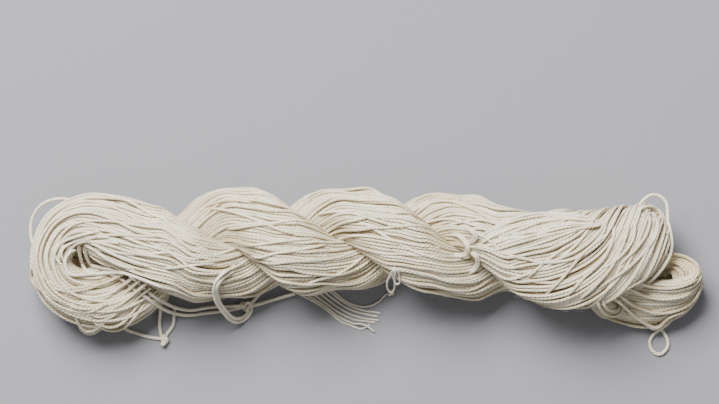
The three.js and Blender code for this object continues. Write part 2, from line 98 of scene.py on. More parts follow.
# Bands: middle, half the width, half the thickness, and the lean of the width from level in degrees
Band = namedtuple("Band", "x y z wide thick lean")
FOLD = [
    Band(-94.9, 13.0, 23.5, 14.6, 10.5, 180),
    Band(-106.7, 17.8, 19.8, 13.4, 11.5, 180),
    Band(-117.4, 20.2, 16.5, 11.4, 13, 180),
    Band(-127.2, 16.4, 15.0, 9.4, 14, 180),
    Band(-132.2, 5.6, 14.3, 7.8, 14.5, 180),
    Band(-128.0, -5.4, 13.6, 9.6, 13.6, 180),
    Band(-118.0, -10.4, 12.2, 11.8, 12.2, 180),
    Band(-105.8, -9.6, 10.7, 13.7, 10.7, 180),
    Band(-93.9, -1.6, 9.8, 14.0, 9.8, 180),
]
FAN = [
    Band(71.0, 5.4, 27.0, 18.4, 9.4, 0),
    Band(83.6, 4.3, 27.0, 20.4, 9.3, 0),
    Band(97.4, 6.2, 26.5, 19.0, 9.0, 0),
    Band(109.6, 11.6, 25.0, 16.0, 8.4, 0),
    Band(117.6, 17.0, 21.5, 12.2, 7.0, 0),
]
TUCK = [
    Band(119.2, 18.6, 14.5, 10.6, 6.4, 180),
    Band(113.6, 15.4, 7.0, 11.8, 5.8, 180),
    Band(100.4, 9.0, 4.4, 13.0, 4.8, 180),
    Band(85.7, 6.5, 4.2, 13.0, 4.6, 180),
    Band(72.0, 5.7, 5.0, 12.0, 4.6, 180),
]
UNDER = [
    Band(103.3, -6.9, 13.0, 10.0, 7.0, 0),
    Band(94.9, -4.4, 13.5, 11.0, 7.6, 0),
    Band(83.6, -0.2, 13.3, 12.5, 8.2, 0),
    Band(71.0, 4.0, 11.5, 13.6, 9.2, 0),
]
END_LOOP = [
    Band(94.1, -5.2, 13.0, 9.0, 5.0, 30),
    Band(106.7, -10.7, 12.0, 11.0, 4.2, 38),
    Band(119.3, -12.8, 12.2, 12.0, 3.8, 42),
    Band(130.0, -10.8, 13.2, 10.2, 3.7, 52),
    Band(136.6, -6.6, 12.6, 8.6, 3.5, 68),
    Band(138.8, -2.2, 11.6, 7.8, 3.2, 90),
    Band(135.4, 1.0, 10.4, 7.8, 3.2, 112),
    Band(128.5, 1.8, 9.6, 8.6, 3.2, 130),
    Band(119.3, 0.8, 9.4, 9.0, 3.6, 136),
    Band(106.7, -2.0, 9.8, 9.0, 4.4, 140),
    Band(96.2, -3.6, 11.0, 8.0, 5.0, 150),
]

# Single turns of yarn that stand off the bundle, by X, Y and Z
LOOSE_TURNS = {
    "upper_left": [
        (-119.5, 28.0, 15), (-126.0, 30.6, 15), (-132.0, 30.4, 14), (-136.8, 28.2, 13), (-139.8, 24.6, 12),
        (-141.2, 20.6, 11.5), (-141.2, 16.6, 11.5), (-140.4, 12.6, 12), (-136.5, 7.6, 12.5),
    ],
    "lower_left": [
        (-135.0, 4.5, 11), (-138.9, 2.4, 10), (-140.4, -0.8, 9), (-140.5, -3.4, 8.5), (-139.4, -5.6, 8.5),
        (-136.6, -7.6, 9), (-131.0, -8.6, 10),
    ],
    "hanging_outer": [
        (-122.0, -14.0, 5), (-122.8, -18.4, 3.6), (-121.4, -22.4, 2.4), (-119.2, -25.0, 1.6),
        (-116.2, -25.6, 1.4), (-113.0, -24.0, 2), (-109.8, -20.6, 3.4), (-107.4, -15.0, 6),
    ],
    "hanging_inner": [
        (-119.4, -14.0, 4), (-119.8, -20.2, 3), (-117.0, -23.0, 2.4), (-113.4, -22.4, 3),
        (-108.8, -19.8, 4.2), (-103.0, -13.6, 7),
    ],
    "under_fold": [
        (-113.0, -18.0, 4), (-111.0, -22.8, 1.6), (-107.2, -24.2, 1), (-103.0, -22.8, 1.2),
        (-98.8, -20.2, 2), (-95.0, -16.6, 4), (-92.6, -10.0, 7),
    ],
    "top_right": [
        (109.0, 19.0, 20), (113.6, 25.2, 20), (115.8, 29.2, 21), (118.8, 31.6, 21), (121.8, 32.0, 20.5),
        (124.6, 30.6, 20), (126.2, 28.2, 20), (126.6, 24.6, 20), (126.6, 21.2, 20.5), (127.4, 17.0, 21.5),
        (128.0, 12.2, 22.5), (127.4, 7.4, 23.5), (125.0, 2.6, 24.5), (120.8, -2.6, 24), (115.0, -6.6, 22),
        (109.0, -9.4, 20.5), (102.0, -11.0, 20), (97.0, -9.0, 21),
    ],
    "shoulder": [
        (115.0, 22.0, 16), (118.6, 26.6, 17), (122.4, 26.0, 17.5), (124.8, 23.0, 18), (125.8, 19.8, 18),
        (124.6, 16.0, 17), (119.0, 13.0, 16),
    ],
    "drop": [
        (131.0, -12.0, 8), (129.4, -19.0, 4.6), (125.8, -22.8, 3.2), (122.6, -25.0, 1.6),
        (120.7, -27.4, 0.8), (120.2, -30.2, 0.8), (121.8, -33.3, 0.8), (124.7, -34.2, 0.8),
        (127.4, -31.8, 0.8), (127.9, -28.8, 0.8), (126.4, -25.4, 0.9), (124.0, -22.4, 1.2),
        (120.6, -19.4, 3), (116.0, -14.0, 8),
    ],
    "under_fan_outer": [
        (95.0, -7.0, 11), (95.4, -13.6, 6), (98.2, -17.0, 3), (101.2, -18.6, 1.6), (104.2, -18.4, 1.6),
        (106.2, -16.2, 3), (106.4, -10.0, 8),
    ],
    "under_fan_inner": [
        (98.0, -6.0, 11), (98.6, -13.0, 6), (100.6, -15.4, 4), (102.8, -15.6, 4), (103.8, -8.0, 8),
    ],
}

# How many more strands lie beside each single turn, and how far they draw in
TURN_BUNCHES = {
    "upper_left": (0, 0),
    "lower_left": (2, 0.16),
    "hanging_outer": (3, 0.13),
    "hanging_inner": (2, 0.17),
    "under_fold": (3, 0.14),
    "top_right": (0, 0),
    "shoulder": (3, 0.2),
    "drop": (0, 0),
    "under_fan_outer": (3, 0.17),
    "under_fan_inner": (1, 0.2),
}

# Single turns that lie over the bundle and dive into it at both ends, by X and Y
LAID_TURNS = [
    [(-106.7, 17.0), (-112.6, 15.8), (-120.1, 14.1), (-126.8, 11.6), (-129.8, 8.2), (-128.5, 4.0),
     (-124.3, 0.6), (-118.4, -1.0), (-111.7, -1.9), (-105.0, -2.3)],
    [(-102.5, 13.2), (-110.0, 13.7), (-116.8, 13.2), (-123.5, 11.1), (-126.8, 8.2), (-126.4, 4.4),
     (-123.5, 1.5), (-118.4, -0.2), (-112.6, -1.0)],
    [(-99.1, 10.3), (-106.7, 11.6), (-113.4, 12.0), (-119.3, 11.6), (-123.5, 9.0), (-124.7, 5.7),
     (-123.5, 2.7), (-120.1, 0.6), (-115.1, -0.2)],
    [(-120.1, 12.0), (-115.9, 9.9), (-111.7, 7.4), (-107.5, 4.4), (-102.5, 1.9), (-96.6, -0.2)],
    [(-118.4, 12.4), (-113.4, 10.7), (-108.4, 8.2), (-102.5, 5.3), (-95.8, 2.7), (-89.0, 0.6)],
    [(-117.6, 8.2), (-114.2, 5.7), (-110.9, 3.6), (-106.7, 1.9)],
    [(-115.9, 9.0), (-111.7, 6.9), (-106.7, 4.0), (-100.8, 1.5), (-94.1, -0.2)],
    [(-113.4, 9.9), (-107.5, 7.4), (-100.8, 4.8), (-93.2, 2.3), (-86.5, 0.2)],
    [(73.5, -11.5), (77.3, -7.8), (81.5, -3.6), (85.7, 1.5), (89.9, 6.5), (94.1, 9.9), (98.3, 13.2),
     (102.5, 16.6)],
    [(81.5, -12.4), (85.7, -8.6), (89.9, -4.0), (94.9, 0.6), (98.3, 4.0), (100.8, 8.2), (102.5, 12.4),
     (103.3, 17.4), (105.8, 20.8)],
    [(86.5, -13.6), (90.7, -10.7), (95.8, -6.1), (101.6, 0.6), (105.0, 6.5), (107.5, 12.4), (109.2, 18.3),
     (110.0, 22.5)],
    [(93.2, -10.7), (98.3, -6.5), (106.7, -1.0), (113.4, 4.8), (118.4, 10.7), (121.8, 14.9), (123.5, 19.1)],
    [(104.2, -9.9), (108.4, -7.8), (113.4, -5.2), (120.1, -1.0), (125.2, 4.0), (126.8, 9.0), (126.8, 14.1)],
    [(111.7, 23.3), (115.1, 25.8), (120.1, 26.7), (123.5, 23.3), (125.2, 18.3), (126.0, 13.2),
     (126.8, 9.0)],
    [(109.6, 22.5), (111.7, 19.1), (110.9, 12.4), (106.7, 6.5), (101.6, 2.3), (95.8, -1.0)],
    [(64.7, -5.2), (69.7, -1.0), (75.6, 4.0), (81.5, 8.2), (87.4, 11.6), (93.2, 14.9)],
    [(116.8, 25.0), (118.4, 20.8), (116.8, 14.9), (112.6, 9.0), (107.5, 4.0), (102.5, -1.0)],
    [(120.1, 24.2), (121.8, 19.1), (120.1, 13.2), (115.9, 7.4), (110.9, 2.3), (105.0, -3.6)],
    [(-136.9, -5.7), (-129.4, -12.0), (-121.4, -13.2), (-113.8, -12.0), (-107.5, -9.4), (-101.2, -5.7),
     (-95.8, -1.9)],
    [(-135.7, -3.1), (-127.7, -8.2), (-118.9, -8.2), (-111.3, -5.7), (-105.0, -3.1), (-99.1, -0.2)],
    [(-129.4, -12.0), (-120.1, -15.7), (-112.6, -15.3), (-105.0, -12.0), (-97.4, -6.5), (-92.4, -2.7)],
    [(-126.4, -14.5), (-118.9, -17.8), (-111.3, -17.8), (-103.7, -14.5), (-96.2, -9.0), (-91.1, -5.2)],
    [(-118.4, -16.6), (-112.6, -19.1), (-106.7, -18.3), (-100.8, -15.3), (-94.9, -10.7), (-89.9, -6.9)],
    [(-138.6, 4.0), (-135.2, -1.9), (-128.5, -6.5), (-121.0, -7.3), (-114.2, -5.7), (-108.4, -2.7)],
    [(-131.9, -6.9), (-126.0, -11.5), (-118.4, -13.2), (-110.0, -11.5), (-102.5, -7.8)],
    [(-134.0, -9.0), (-128.5, -14.5), (-121.8, -17.0), (-115.1, -17.0), (-109.2, -14.1), (-104.2, -10.3)],
    [(96.2, -11.1), (97.0, -14.9), (100.0, -17.8), (103.7, -18.7), (107.1, -17.0), (107.9, -13.6),
     (106.7, -10.7)],
    [(98.3, -11.5), (99.5, -14.9), (102.5, -16.6), (105.4, -15.3), (105.8, -12.0)],
    [(-130.2, -10.7), (-126.0, -13.2), (-122.6, -16.2), (-121.0, -20.4), (-118.9, -24.1), (-115.9, -25.0),
     (-112.1, -23.3), (-107.5, -19.1), (-102.5, -14.1), (-98.3, -9.9)],
    [(-131.9, -7.8), (-126.8, -11.5), (-121.8, -14.5), (-117.6, -17.8), (-113.0, -21.2), (-108.4, -23.3),
     (-103.7, -22.5), (-99.1, -18.7), (-94.9, -13.2), (-90.7, -7.8)],
    [(-127.7, -13.6), (-123.5, -15.7), (-120.1, -18.3), (-115.9, -19.9), (-111.3, -20.8), (-106.7, -19.1),
     (-101.6, -15.3), (-96.6, -10.3), (-92.4, -5.7)],
    [(-116.8, -18.7), (-113.8, -21.2), (-110.5, -23.7), (-106.3, -24.6), (-101.6, -23.3), (-97.4, -19.5),
     (-93.7, -14.9), (-90.3, -10.3)],
    [(-134.4, -5.7), (-129.4, -9.9), (-124.3, -12.0), (-118.4, -14.1), (-112.6, -14.5), (-106.7, -12.8),
     (-100.8, -9.4), (-95.8, -5.2)],
    [(105.0, -9.9), (110.0, -13.2), (115.9, -15.7), (122.6, -17.4), (129.4, -16.6), (135.2, -14.1),
     (139.4, -9.9), (141.1, -4.8)],
    [(103.3, -11.5), (109.2, -15.7), (115.1, -19.9), (121.0, -22.9), (123.5, -22.9), (127.7, -19.1),
     (133.6, -16.6), (137.8, -13.2)],
    [(109.2, -7.3), (115.1, -9.9), (121.8, -11.5), (128.5, -11.5), (134.4, -9.9), (139.4, -6.5)],
    [(111.7, -4.8), (118.4, -6.5), (125.2, -7.3), (131.9, -6.5), (137.8, -4.0), (141.1, -1.5)],
    [(106.7, -14.9), (111.7, -18.3), (117.6, -21.6), (121.8, -23.7), (126.0, -21.6), (130.2, -19.1)],
    [(-60.5, 17.4), (-54.6, 17.0), (-47.9, 17.9), (-39.5, 18.7), (-31.1, 19.1), (-24.4, 18.7)],
    [(-52.9, 10.7), (-46.2, 9.9), (-37.8, 11.1), (-27.7, 12.2), (-19.3, 12.6)],
    [(-50.4, 7.4), (-44.5, 4.8), (-37.8, 6.5), (-31.1, 7.4), (-22.7, 9.0), (-14.3, 10.7)],
    [(-69.7, 25.0), (-64.7, 27.5), (-58.8, 28.8), (-51.2, 28.6), (-44.0, 27.0)],
    [(-67.2, 25.8), (-59.6, 25.0), (-51.2, 22.5), (-42.8, 19.1), (-34.4, 15.8), (-26.0, 14.1)],
    [(-10.9, 13.2), (-4.2, 14.1), (4.2, 13.2), (12.6, 11.6), (21.8, 9.9), (30.2, 9.0)],
    [(-22.7, 22.5), (-14.3, 24.2), (-5.9, 23.3), (2.5, 20.8), (10.9, 18.3), (19.3, 16.6)],
    [(-86.5, 9.0), (-79.8, 5.7), (-73.1, 3.2), (-64.7, 3.2), (-58.0, 4.8), (-52.9, 6.5)],
    [(-86.5, 0.6), (-79.8, 0.6), (-73.1, 1.5), (-66.4, 2.3), (-58.8, 2.3)],
    [(-137.8, 4.0), (-139.9, 1.5), (-140.5, -1.9), (-139.4, -4.8), (-136.9, -7.3), (-133.6, -9.4),
     (-129.4, -11.5)],
]

# Turns that spread from the pinch at the start of the fan, and turns nested in the end loop, by X and Y.
# More lie halfway between them.
SPREAD_TURNS = [
    [(44.5, 10.7), (47.9, 14.1), (52.1, 16.8), (57.1, 19.6), (63.0, 21.7), (69.7, 23.1), (77.3, 23.5),
     (84.8, 23.1), (92.4, 22.1)],
    [(44.5, 10.3), (49.6, 14.1), (54.6, 16.5), (60.5, 19.0), (67.2, 20.9), (74.8, 21.9), (82.3, 21.9),
     (89.9, 21.1), (97.4, 19.6)],
    [(45.4, 9.5), (51.2, 12.8), (57.1, 15.5), (63.8, 17.9), (70.6, 19.6), (78.1, 20.7), (85.7, 20.9),
     (93.2, 20.3), (100.0, 19.3)],
    [(46.2, 8.6), (52.9, 11.6), (59.6, 14.4), (66.4, 16.5), (73.9, 18.2), (81.5, 19.3), (89.0, 19.6),
     (95.8, 19.0), (101.6, 17.6)],
    [(47.0, 7.8), (54.6, 10.3), (62.2, 12.8), (69.7, 15.1), (77.3, 16.8), (84.8, 17.9), (92.4, 18.2),
     (99.1, 17.6)],
    [(48.7, 6.5), (56.3, 8.6), (64.7, 11.1), (73.1, 13.7), (81.5, 15.8), (89.0, 17.2), (95.8, 18.2),
     (100.8, 19.6)],
    [(51.2, 4.8), (58.8, 6.5), (67.2, 9.0), (75.6, 12.0), (83.2, 14.7), (89.9, 16.8), (95.8, 19.0)],
]
LOOP_TURNS = [
    [(120.1, 4.0), (124.3, 6.5), (129.4, 6.9), (134.4, 5.7), (138.2, 3.2), (139.9, -0.2), (139.9, -3.6)],
    [(121.0, 2.3), (125.2, 4.8), (130.2, 5.3), (134.4, 3.6), (136.9, 0.6), (137.3, -2.7)],
    [(121.8, 0.6), (126.0, 3.2), (129.8, 3.6), (132.7, 1.5), (134.4, -1.0), (134.4, -4.0)],
    [(122.6, -0.6), (126.4, 1.5), (129.4, 1.5), (131.5, -0.6), (131.9, -3.6)],
    [(123.5, -1.9), (126.8, -0.2), (128.9, -1.0), (129.4, -4.0)],
]

# Turns deep in the eye and in the end loop: a path, the shift from each to the next, and how many
DeepTurns = namedtuple("DeepTurns", "path shift count")
DEEP_TURNS = [
    DeepTurns(
        [(-128.0, 10.4, 15), (-123.0, 10.6, 13.5), (-117.0, 8.6, 13), (-110.0, 5.0, 13.5), (-103.0, 1.6, 14)],
        (-0.25, -1.25, 0.0), 9,
    ),
    DeepTurns(
        [(114.0, -3.6, 12.5), (121.0, -5.0, 12), (127.0, -5.0, 12), (132.0, -4.4, 11.5), (137.5, -3.0, 11)],
        (0.1, 1.2, 0.15), 7,
    ),
]

# Ties: strands over the hank, strands that dive into it, strands beside or under its edge, and knots
Tie = namedtuple("Tie", "over dives under knots")
Knot = namedtuple("Knot", "x y z long wide high turn")
TIES = {
    "fold_tie": Tie(
        over=[],
        dives=[],
        under=[
            [(-107.0, -18.0, 3), (-104.6, -21.6, 1.4), (-100.6, -24.1), (-97.0, -25.3), (-93.9, -26.4),
             (-90.3, -27.2), (-85.3, -27.8)],
            [(-85.2, -28.0), (-86.5, -26.7), (-87.4, -21.4, 1.6), (-87.1, -17.2, 3), (-86.8, -13.6, 5)],
            [(-85.2, -28.0), (-84.2, -25.6), (-81.7, -22.0), (-81.3, -18.3, 1.6), (-80.7, -14.0, 3.4)],
        ],
        knots=[Knot(-85.2, -28.4, 1.5, 2.5, 1.35, 1.45, 80)],
    ),
    "eye_tie": Tie(
        over=[
            [(-117.6, 8.6, 15), (-117.0, 5.8, 18), (-115.2, 2.7), (-110.9, 1.5), (-105.5, 0.2),
             (-101.2, -1.4)],
            [(-121.6, 8.6, 15), (-123.6, 7.6), (-125.4, 4.5), (-125.2, 1.0), (-123.2, -1.7),
             (-118.8, -1.9), (-113.5, -1.2)],
            [(-98.3, -2.3), (-94.9, -5.2), (-90.3, -9.4), (-84.9, -12.8, 7), (-79.8, -14.9, 5),
             (-73.9, -15.7, 4), (-68.7, -14.9, 3.6), (-63.9, -14.3, 3.4), (-58.0, -14.1, 3),
             (-51.0, -13.4, 2.4)],
            [(-107.7, -0.8), (-101.7, -3.8), (-97.0, -7.5), (-91.8, -11.1), (-86.5, -14.9, 5),
             (-81.3, -17.0, 3), (-75.0, -17.8, 2), (-68.7, -17.0, 1.6), (-62.4, -16.2, 1.4),
             (-57.6, -15.6, 1.4), (-51.0, -14.0, 1.6)],
        ],
        dives=[
            [(-119.9, 9.6, 14), (-119.7, 6.3, 17), (-118.9, 2.7), (-117.0, 0.1), (-113.5, -1.2),
             (-107.7, -0.8), (-101.1, -1.2), (-94.5, -3.4), (-87.9, -6.1), (-81.2, -8.3)],
            [(-50.6, -13.6, 1.6), (-48.5, -14.7), (-49.2, -17.2), (-51.3, -19.5), (-54.6, -20.8),
             (-57.6, -19.7, 1.8), (-59.7, -17.4, 3.2), (-61.6, -14.9, 5.4), (-62.9, -12.2, 9),
             (-63.3, -8.6), (-62.6, -5.4), (-60.4, -2.6), (-57.6, -0.4), (-54.6, 1.8)],
            [(-50.4, -14.1, 1.6), (-50.2, -16.6), (-52.1, -18.7), (-54.6, -19.5), (-56.9, -18.5),
             (-58.8, -16.4), (-60.7, -13.9, 5.4), (-61.8, -10.7, 9), (-61.9, -7.3), (-60.1, -4.2),
             (-57.1, -1.8), (-53.8, 0.4)],
        ],
        under=[
            [(-50.6, -13.4, 2), (-48.3, -12.4, 2.2), (-45.6, -9.4, 2.4), (-43.6, -7.0, 2.6)],
            [(-50.6, -13.8, 2), (-48.3, -13.7, 2), (-44.5, -12.8, 2.2), (-40.3, -11.5, 2.4),
             (-35.0, -10.0, 2.6), (-30.0, -8.6, 2.6)],
        ],
        knots=[Knot(-50.8, -13.7, 2.1, 2.6, 2.1, 1.9, 0)],
    ),
    "edge_tie": Tie(
        over=[
            [(11.9, 0.9), (10.4, -1.8), (8.9, -4.8), (9.1, -7.6), (10.5, -9.0), (11.8, -7.6), (12.0, -5.2),
             (11.2, -2.4), (12.2, 1.0)],
            [(12.6, 0.8), (11.9, -3.2), (12.3, -5.4), (13.4, -5.9), (14.1, -4.8), (13.7, -1.9), (12.9, 0.8)],
        ],
        dives=[],
        under=[
            [(-18.5, -3.1), (-15.1, -6.3), (-11.8, -9.2), (-8.4, -11.8), (-5.0, -13.3), (-1.7, -14.1),
             (0.8, -13.9), (3.4, -13.1), (5.9, -11.5), (7.6, -9.7), (8.8, -8.6), (10.4, -8.4)],
        ],
        knots=[Knot(10.5, -8.2, 1.8, 1.7, 1.4, 1.3, 70)],
    ),
    "fan_tie": Tie(
        over=[
            [(34.2, 14.9), (37.4, 14.5), (39.5, 13.2), (40.9, 11.6), (42.0, 9.5), (42.0, 7.4), (40.5, 6.5),
             (37.4, 6.5), (34.9, 6.7)],
            [(38.4, 17.0), (40.7, 17.4), (42.8, 16.4), (44.4, 14.9), (45.4, 13.2), (43.7, 11.9),
             (41.0, 11.2)],
            [(41.8, 8.2), (43.3, 7.4), (44.9, 6.2), (46.2, 4.1), (45.9, 1.7), (44.4, 0.2), (42.0, -0.4)],
        ],
        dives=[],
        under=[],
        knots=[],
    ),
}
SINGLE_YARN_TIES = ["edge_tie"]
DOUBLED_TIES = ["fan_tie"]

# Cut ends that lie on the table, by X, Y and, where they pass over each other, height
CUT_ENDS = [
    [(-31.9, -5.2), (-27.3, -9.2), (-24.4, -10.6), (-20.2, -13.0), (-16.4, -15.6), (-13.4, -18.2),
     (-10.1, -20.6), (-5.9, -22.2), (-2.5, -23.5), (-0.6, -23.0), (1.6, -21.7)],
    [(-28.9, -5.2), (-25.7, -8.4), (-21.8, -11.0), (-18.0, -13.3), (-14.7, -15.9), (-11.7, -18.2),
     (-8.4, -20.0), (-4.9, -21.3, 0.8), (-1.8, -21.5, 1.6), (1.3, -22.9, 1.5), (3.4, -24.6, 0.6)],
    [(-26.9, -4.6), (-22.2, -8.8), (-18.1, -11.8), (-14.4, -14.5), (-11.3, -16.6), (-7.6, -18.5),
     (-4.2, -19.7), (-0.2, -20.2), (3.9, -20.8)],
    [(-25.2, -3.4), (-20.6, -7.5), (-16.8, -10.6), (-13.0, -13.5), (-9.2, -15.9), (-5.9, -17.5),
     (-1.7, -18.8), (1.7, -19.4), (5.5, -19.9)],
    [(-23.5, -2.3), (-19.3, -6.3), (-15.5, -9.5), (-11.8, -12.2), (-8.4, -14.4), (-4.2, -16.2),
     (0.8, -17.4), (5.0, -18.2)],
    [(-21.4, -1.7), (-17.3, -5.6), (-13.9, -8.7), (-10.6, -11.3), (-7.4, -13.3), (-4.2, -14.7),
     (-1.3, -15.6), (1.4, -16.1), (3.6, -16.3), (6.1, -16.9)],
]

# The stage: the photograph's frame for the camera, and the light
PHOTO_WIDTH_PX = 719
PHOTO_MM_PER_PX = 0.42
CAMERA_TARGET = (-0.0027, 0.0292, 0.018)
CAMERA_TILT = 4  # degrees from straight down
CAMERA_DISTANCE = 1.6  # in metres
SENSOR_WIDTH = 36  # in millimetres
FLOOR_REACH = 3.0  # from the middle of the floor to its sides, in metres
Light = namedtuple("Light", "name place size power")
LIGHTS = [
    Light("key_light", (-0.5, 0.9, 1.3), 1.0, 92.0),
    Light("fill_light", (0.5, -0.9, 1.4), 1.6, 6.0),
]
SKY_COLOUR = (0.95, 0.97, 1.0, 1)
SKY_STRENGTH = 0.21


def linear(hex_colour):
    """A colour's three linear values from its sRGB hex code."""
    values = [int(hex_colour[i : i + 2], 16) / 255 for i in (1, 3, 5)]
    return tuple(v / 12.92 if v <= 0.04045 else ((v + 0.055) / 1.055) ** 2.4 for v in values)


def add_node(tree, kind, inputs=None, **settings):
    """A node in a tree with its settings, and its inputs linked or set by name or number."""
    node = tree.nodes.new(kind)
    for name, value in settings.items():
        setattr(node, name, value)
    for socket, value in (inputs or {}).items():
        if isinstance(value, bpy.types.NodeSocket):
            tree.links.new(value, node.inputs[socket])
        else:
            node.inputs[socket].default_value = value
    return node


# Settings that a user would change


def thickness(name, description, metres):
    return bpy.props.FloatProperty(name=name, description=description, default=metres, unit="LENGTH")


def count_of(name, description, number):
    return bpy.props.IntProperty(name=name, description=description, default=number)


def colour_of(name, description, hex_colour):
    return bpy.props.FloatVectorProperty(
        name=name, description=description, default=linear(hex_colour), subtype="COLOR"
    )


class YarnSettings(bpy.types.PropertyGroup):
    diameter: thickness("Yarn diameter", "Diameter of the plied yarn", 0.00145)
    single_diameter: thickness("Thin yarn diameter", "Diameter of the cut ends", 0.0008)
    outer_strands: count_of("Outer strands", "Strands of yarn in the outer layer of a ply", 61)
    crossing_strands: count_of("Crossing strands", "Strands that lie slantwise over the others", 30)
    inner_strands: count_of("Inner strands", "Strands of yarn in the layer below", 50)
    loop_strands: count_of("End loop strands", "Strands of yarn in the end loop", 34)
    fuzz_hairs: count_of("Fuzz hairs", "Loose fibres that stand off the yarn", 5600)


class ColourSettings(bpy.types.PropertyGroup):
    yarn: colour_of("Yarn", "Colour of the linen", "#F2ECD7")
    # Mixed in for each strand's own tone and its fibre streaks, and as painted shade in grooves and creases
    deep: colour_of("Deep yarn", "Colour of the linen in the creases", "#AE986C")
    # A darker copy of the yarn's colour: painted shade on the second layer and on the turns deep in the hank
    inner: colour_of("Inner yarn", "Colour of the linen in the second layer", "#DACDAC")
    # Darker and warmer than the yarn: painted shade deep in the bundle's gaps
    core: colour_of("Core", "Colour of the linen in the middle of the bundle", "#BE9A6E")
    tie: colour_of("Tie", "Colour of the ties and cut ends", "#F3EDDC")
    floor: colour_of("Floor", "Colour of the floor", "#88888C")


def yarn_radius():
    """Radius of the plied yarn in millimetres."""
    return bpy.context.scene.hank_yarn.diameter / MM / 2


# Smooth curves


def smooth(k0, k1, k2, k3, t):
    """Value between the second and third of four keys in a row, on a curve that passes through them."""
    a = -0.5 * k0 + 1.5 * k1 - 1.5 * k2 + 0.5 * k3
    b = k0 - 2.5 * k1 + 2 * k2 - 0.5 * k3
    c = -0.5 * k0 + 0.5 * k2
    return ((a * t + b) * t + c) * t + k1


def keys_round(keys, gap):
    """The four keys round a gap, of which the first and last key count twice at the ends."""
    return [keys[min(max(n, 0), len(keys) - 1)] for n in range(gap - 1, gap + 3)]


def through(keys, parts):
    """Rows on a smooth curve through keys, with a number of parts in each gap, and the last key."""
    keys = np.asarray(keys, float)
    rows = []
    for i, count in enumerate(parts):
        t = (np.arange(count) / count)[:, None]
        rows.append(smooth(*keys_round(keys, i), t))
    return np.vstack([*rows, keys[-1:]])


def lengths_of(points):
    """Distance along a path to each of its points."""
    return np.concatenate([[0], np.cumsum(np.linalg.norm(np.diff(points, axis=0), axis=1))])


def spaced(points, step):
    """Points a step apart on the smooth curve through the given ones."""
    gaps = np.linalg.norm(np.diff(points, axis=0), axis=1)
    fine = through(points, [max(2, int(4 * gap / step)) for gap in gaps])
    along = lengths_of(fine)
    places = np.linspace(0, along[-1], max(4, round(along[-1] / step) + 1))
    return np.column_stack([np.interp(places, along, fine[:, axis]) for axis in range(3)])


def eased(share):
    """A share from 0 to 1 that starts and ends gently."""
    share = np.clip(share, 0, 1)
    return share * share * (3 - 2 * share)


# Bundles, in millimetres

RING_STEP = 2.0  # between two points of an outer strand
INNER_STEP = 3.2  # and of a strand in the layer below
CORE_STEP = 4.0  # and between two rings of the core
CORE_DEPTH = 2.7  # of the core below its bundle's skin
CORE_POINTS = 40
LAYER_DEPTH = 1.15  # of the second layer below the outer one
TAPER = 12.0  # length in which a bundle's ends draw in
END_SHARE = 0.45  # how wide they still are at the very end
SECTION_SAMPLES = 192

Bundle = namedtuple("Bundle", "middle u v shift along slack")


def along_rope(column, x):
    """A named column of the rope's table at a place along X."""
    row = 0
    while row < len(ROPE_AXIS) - 2 and x > ROPE_AXIS[row + 1].x:
        row += 1
    t = (x - ROPE_AXIS[row].x) / (ROPE_AXIS[row + 1].x - ROPE_AXIS[row].x)
    return smooth(*keys_round([getattr(place, column) for place in ROPE_AXIS], row), t)


def rope_station(x, phase, outward):
    """A station of a ply: middle, the half axes of its section, the turn of its yarn a millimetre, and
    its slack."""
    turn = math.radians(90 + phase + (x - ROPE_START) / TWIST_PITCH * 360)
    deep = along_rope("deep", x)
    across = along_rope("across", x) * PLY_ACROSS * (1 + UNDER_SHARE * math.sin(turn))
    out = np.array([0, math.cos(turn), SAG * math.sin(turn)])
    sideways = np.array([0, -math.sin(turn), SAG * math.cos(turn)])
    middle = np.array([x, along_rope("y", x), ROPE_HEIGHT]) + out * PLY_OFFSET * deep
    start_lays = [ROPE_START_LAY, (ROPE_START_LAY + 2 * ROPE_LAY) / 3, ROPE_LAY]
    lay = np.interp(x - ROPE_START, [0, LAY_EASE, 2 * LAY_EASE], start_lays)
    lay = min(lay, np.interp(ROPE_END - x, [0, LAY_EASE], [ROPE_END_LAY, ROPE_LAY]))
    return np.concatenate([middle, sideways * across, out * PLY_DEEP * deep * outward, [lay, ROPE_SLACK]])


def rope_stations(phase, outward, start, end):
    """Stations of a ply from one end of the rope to the other."""
    return [rope_station(x, phase, outward) for x in np.linspace(start, end, ROPE_GAPS + 1)]


def band_stations(rows, lays, slack=1.0):
    """Stations of a band that a table gives, each section square to the way that the band runs."""
    middles = np.array([[row.x, row.y, row.z] for row in rows], float)
    stations = []
    for i, row in enumerate(rows):
        run = middles[min(i + 1, len(rows) - 1)] - middles[max(i - 1, 0)]
        run /= np.linalg.norm(run)
        right = np.array([run[1], -run[0], 0])
        right /= np.linalg.norm(right)
        down = np.cross(run, right)
        down /= np.linalg.norm(down)
        lean = math.radians(row.lean)
        u = right * math.cos(lean) + down * math.sin(lean)
        v = np.cross(run, u)
        v /= np.linalg.norm(v)
        stations.append(np.concatenate([middles[i], u * row.wide, v * row.thick, [lays[i], slack]]))
    return stations


def bundle_of(stations, step):
    """The rings of a bundle, a step apart, whose ends draw in."""
    stations = np.array(stations)
    parts = [max(1, round(gap / step)) for gap in np.linalg.norm(np.diff(stations[:, :3], axis=0), axis=1)]
    rings = through(stations, parts)
    middle, u, v = rings[:, 0:3], rings[:, 3:6], rings[:, 6:9]
    along = lengths_of(middle)
    at_station = along[np.cumsum([0, *parts])]
    lay = np.interp(along, at_station, stations[:, 9])
    slack = np.interp(along, at_station, stations[:, 10])
    turned = np.concatenate([[0], np.cumsum(lay[1:] * np.diff(along))])
    drawn = np.minimum(1, np.minimum(along, along[-1] - along) / TAPER) * (1 - END_SHARE) + END_SHARE
    return Bundle(middle, u * drawn[:, None], v * drawn[:, None], turned / 360, along, slack)


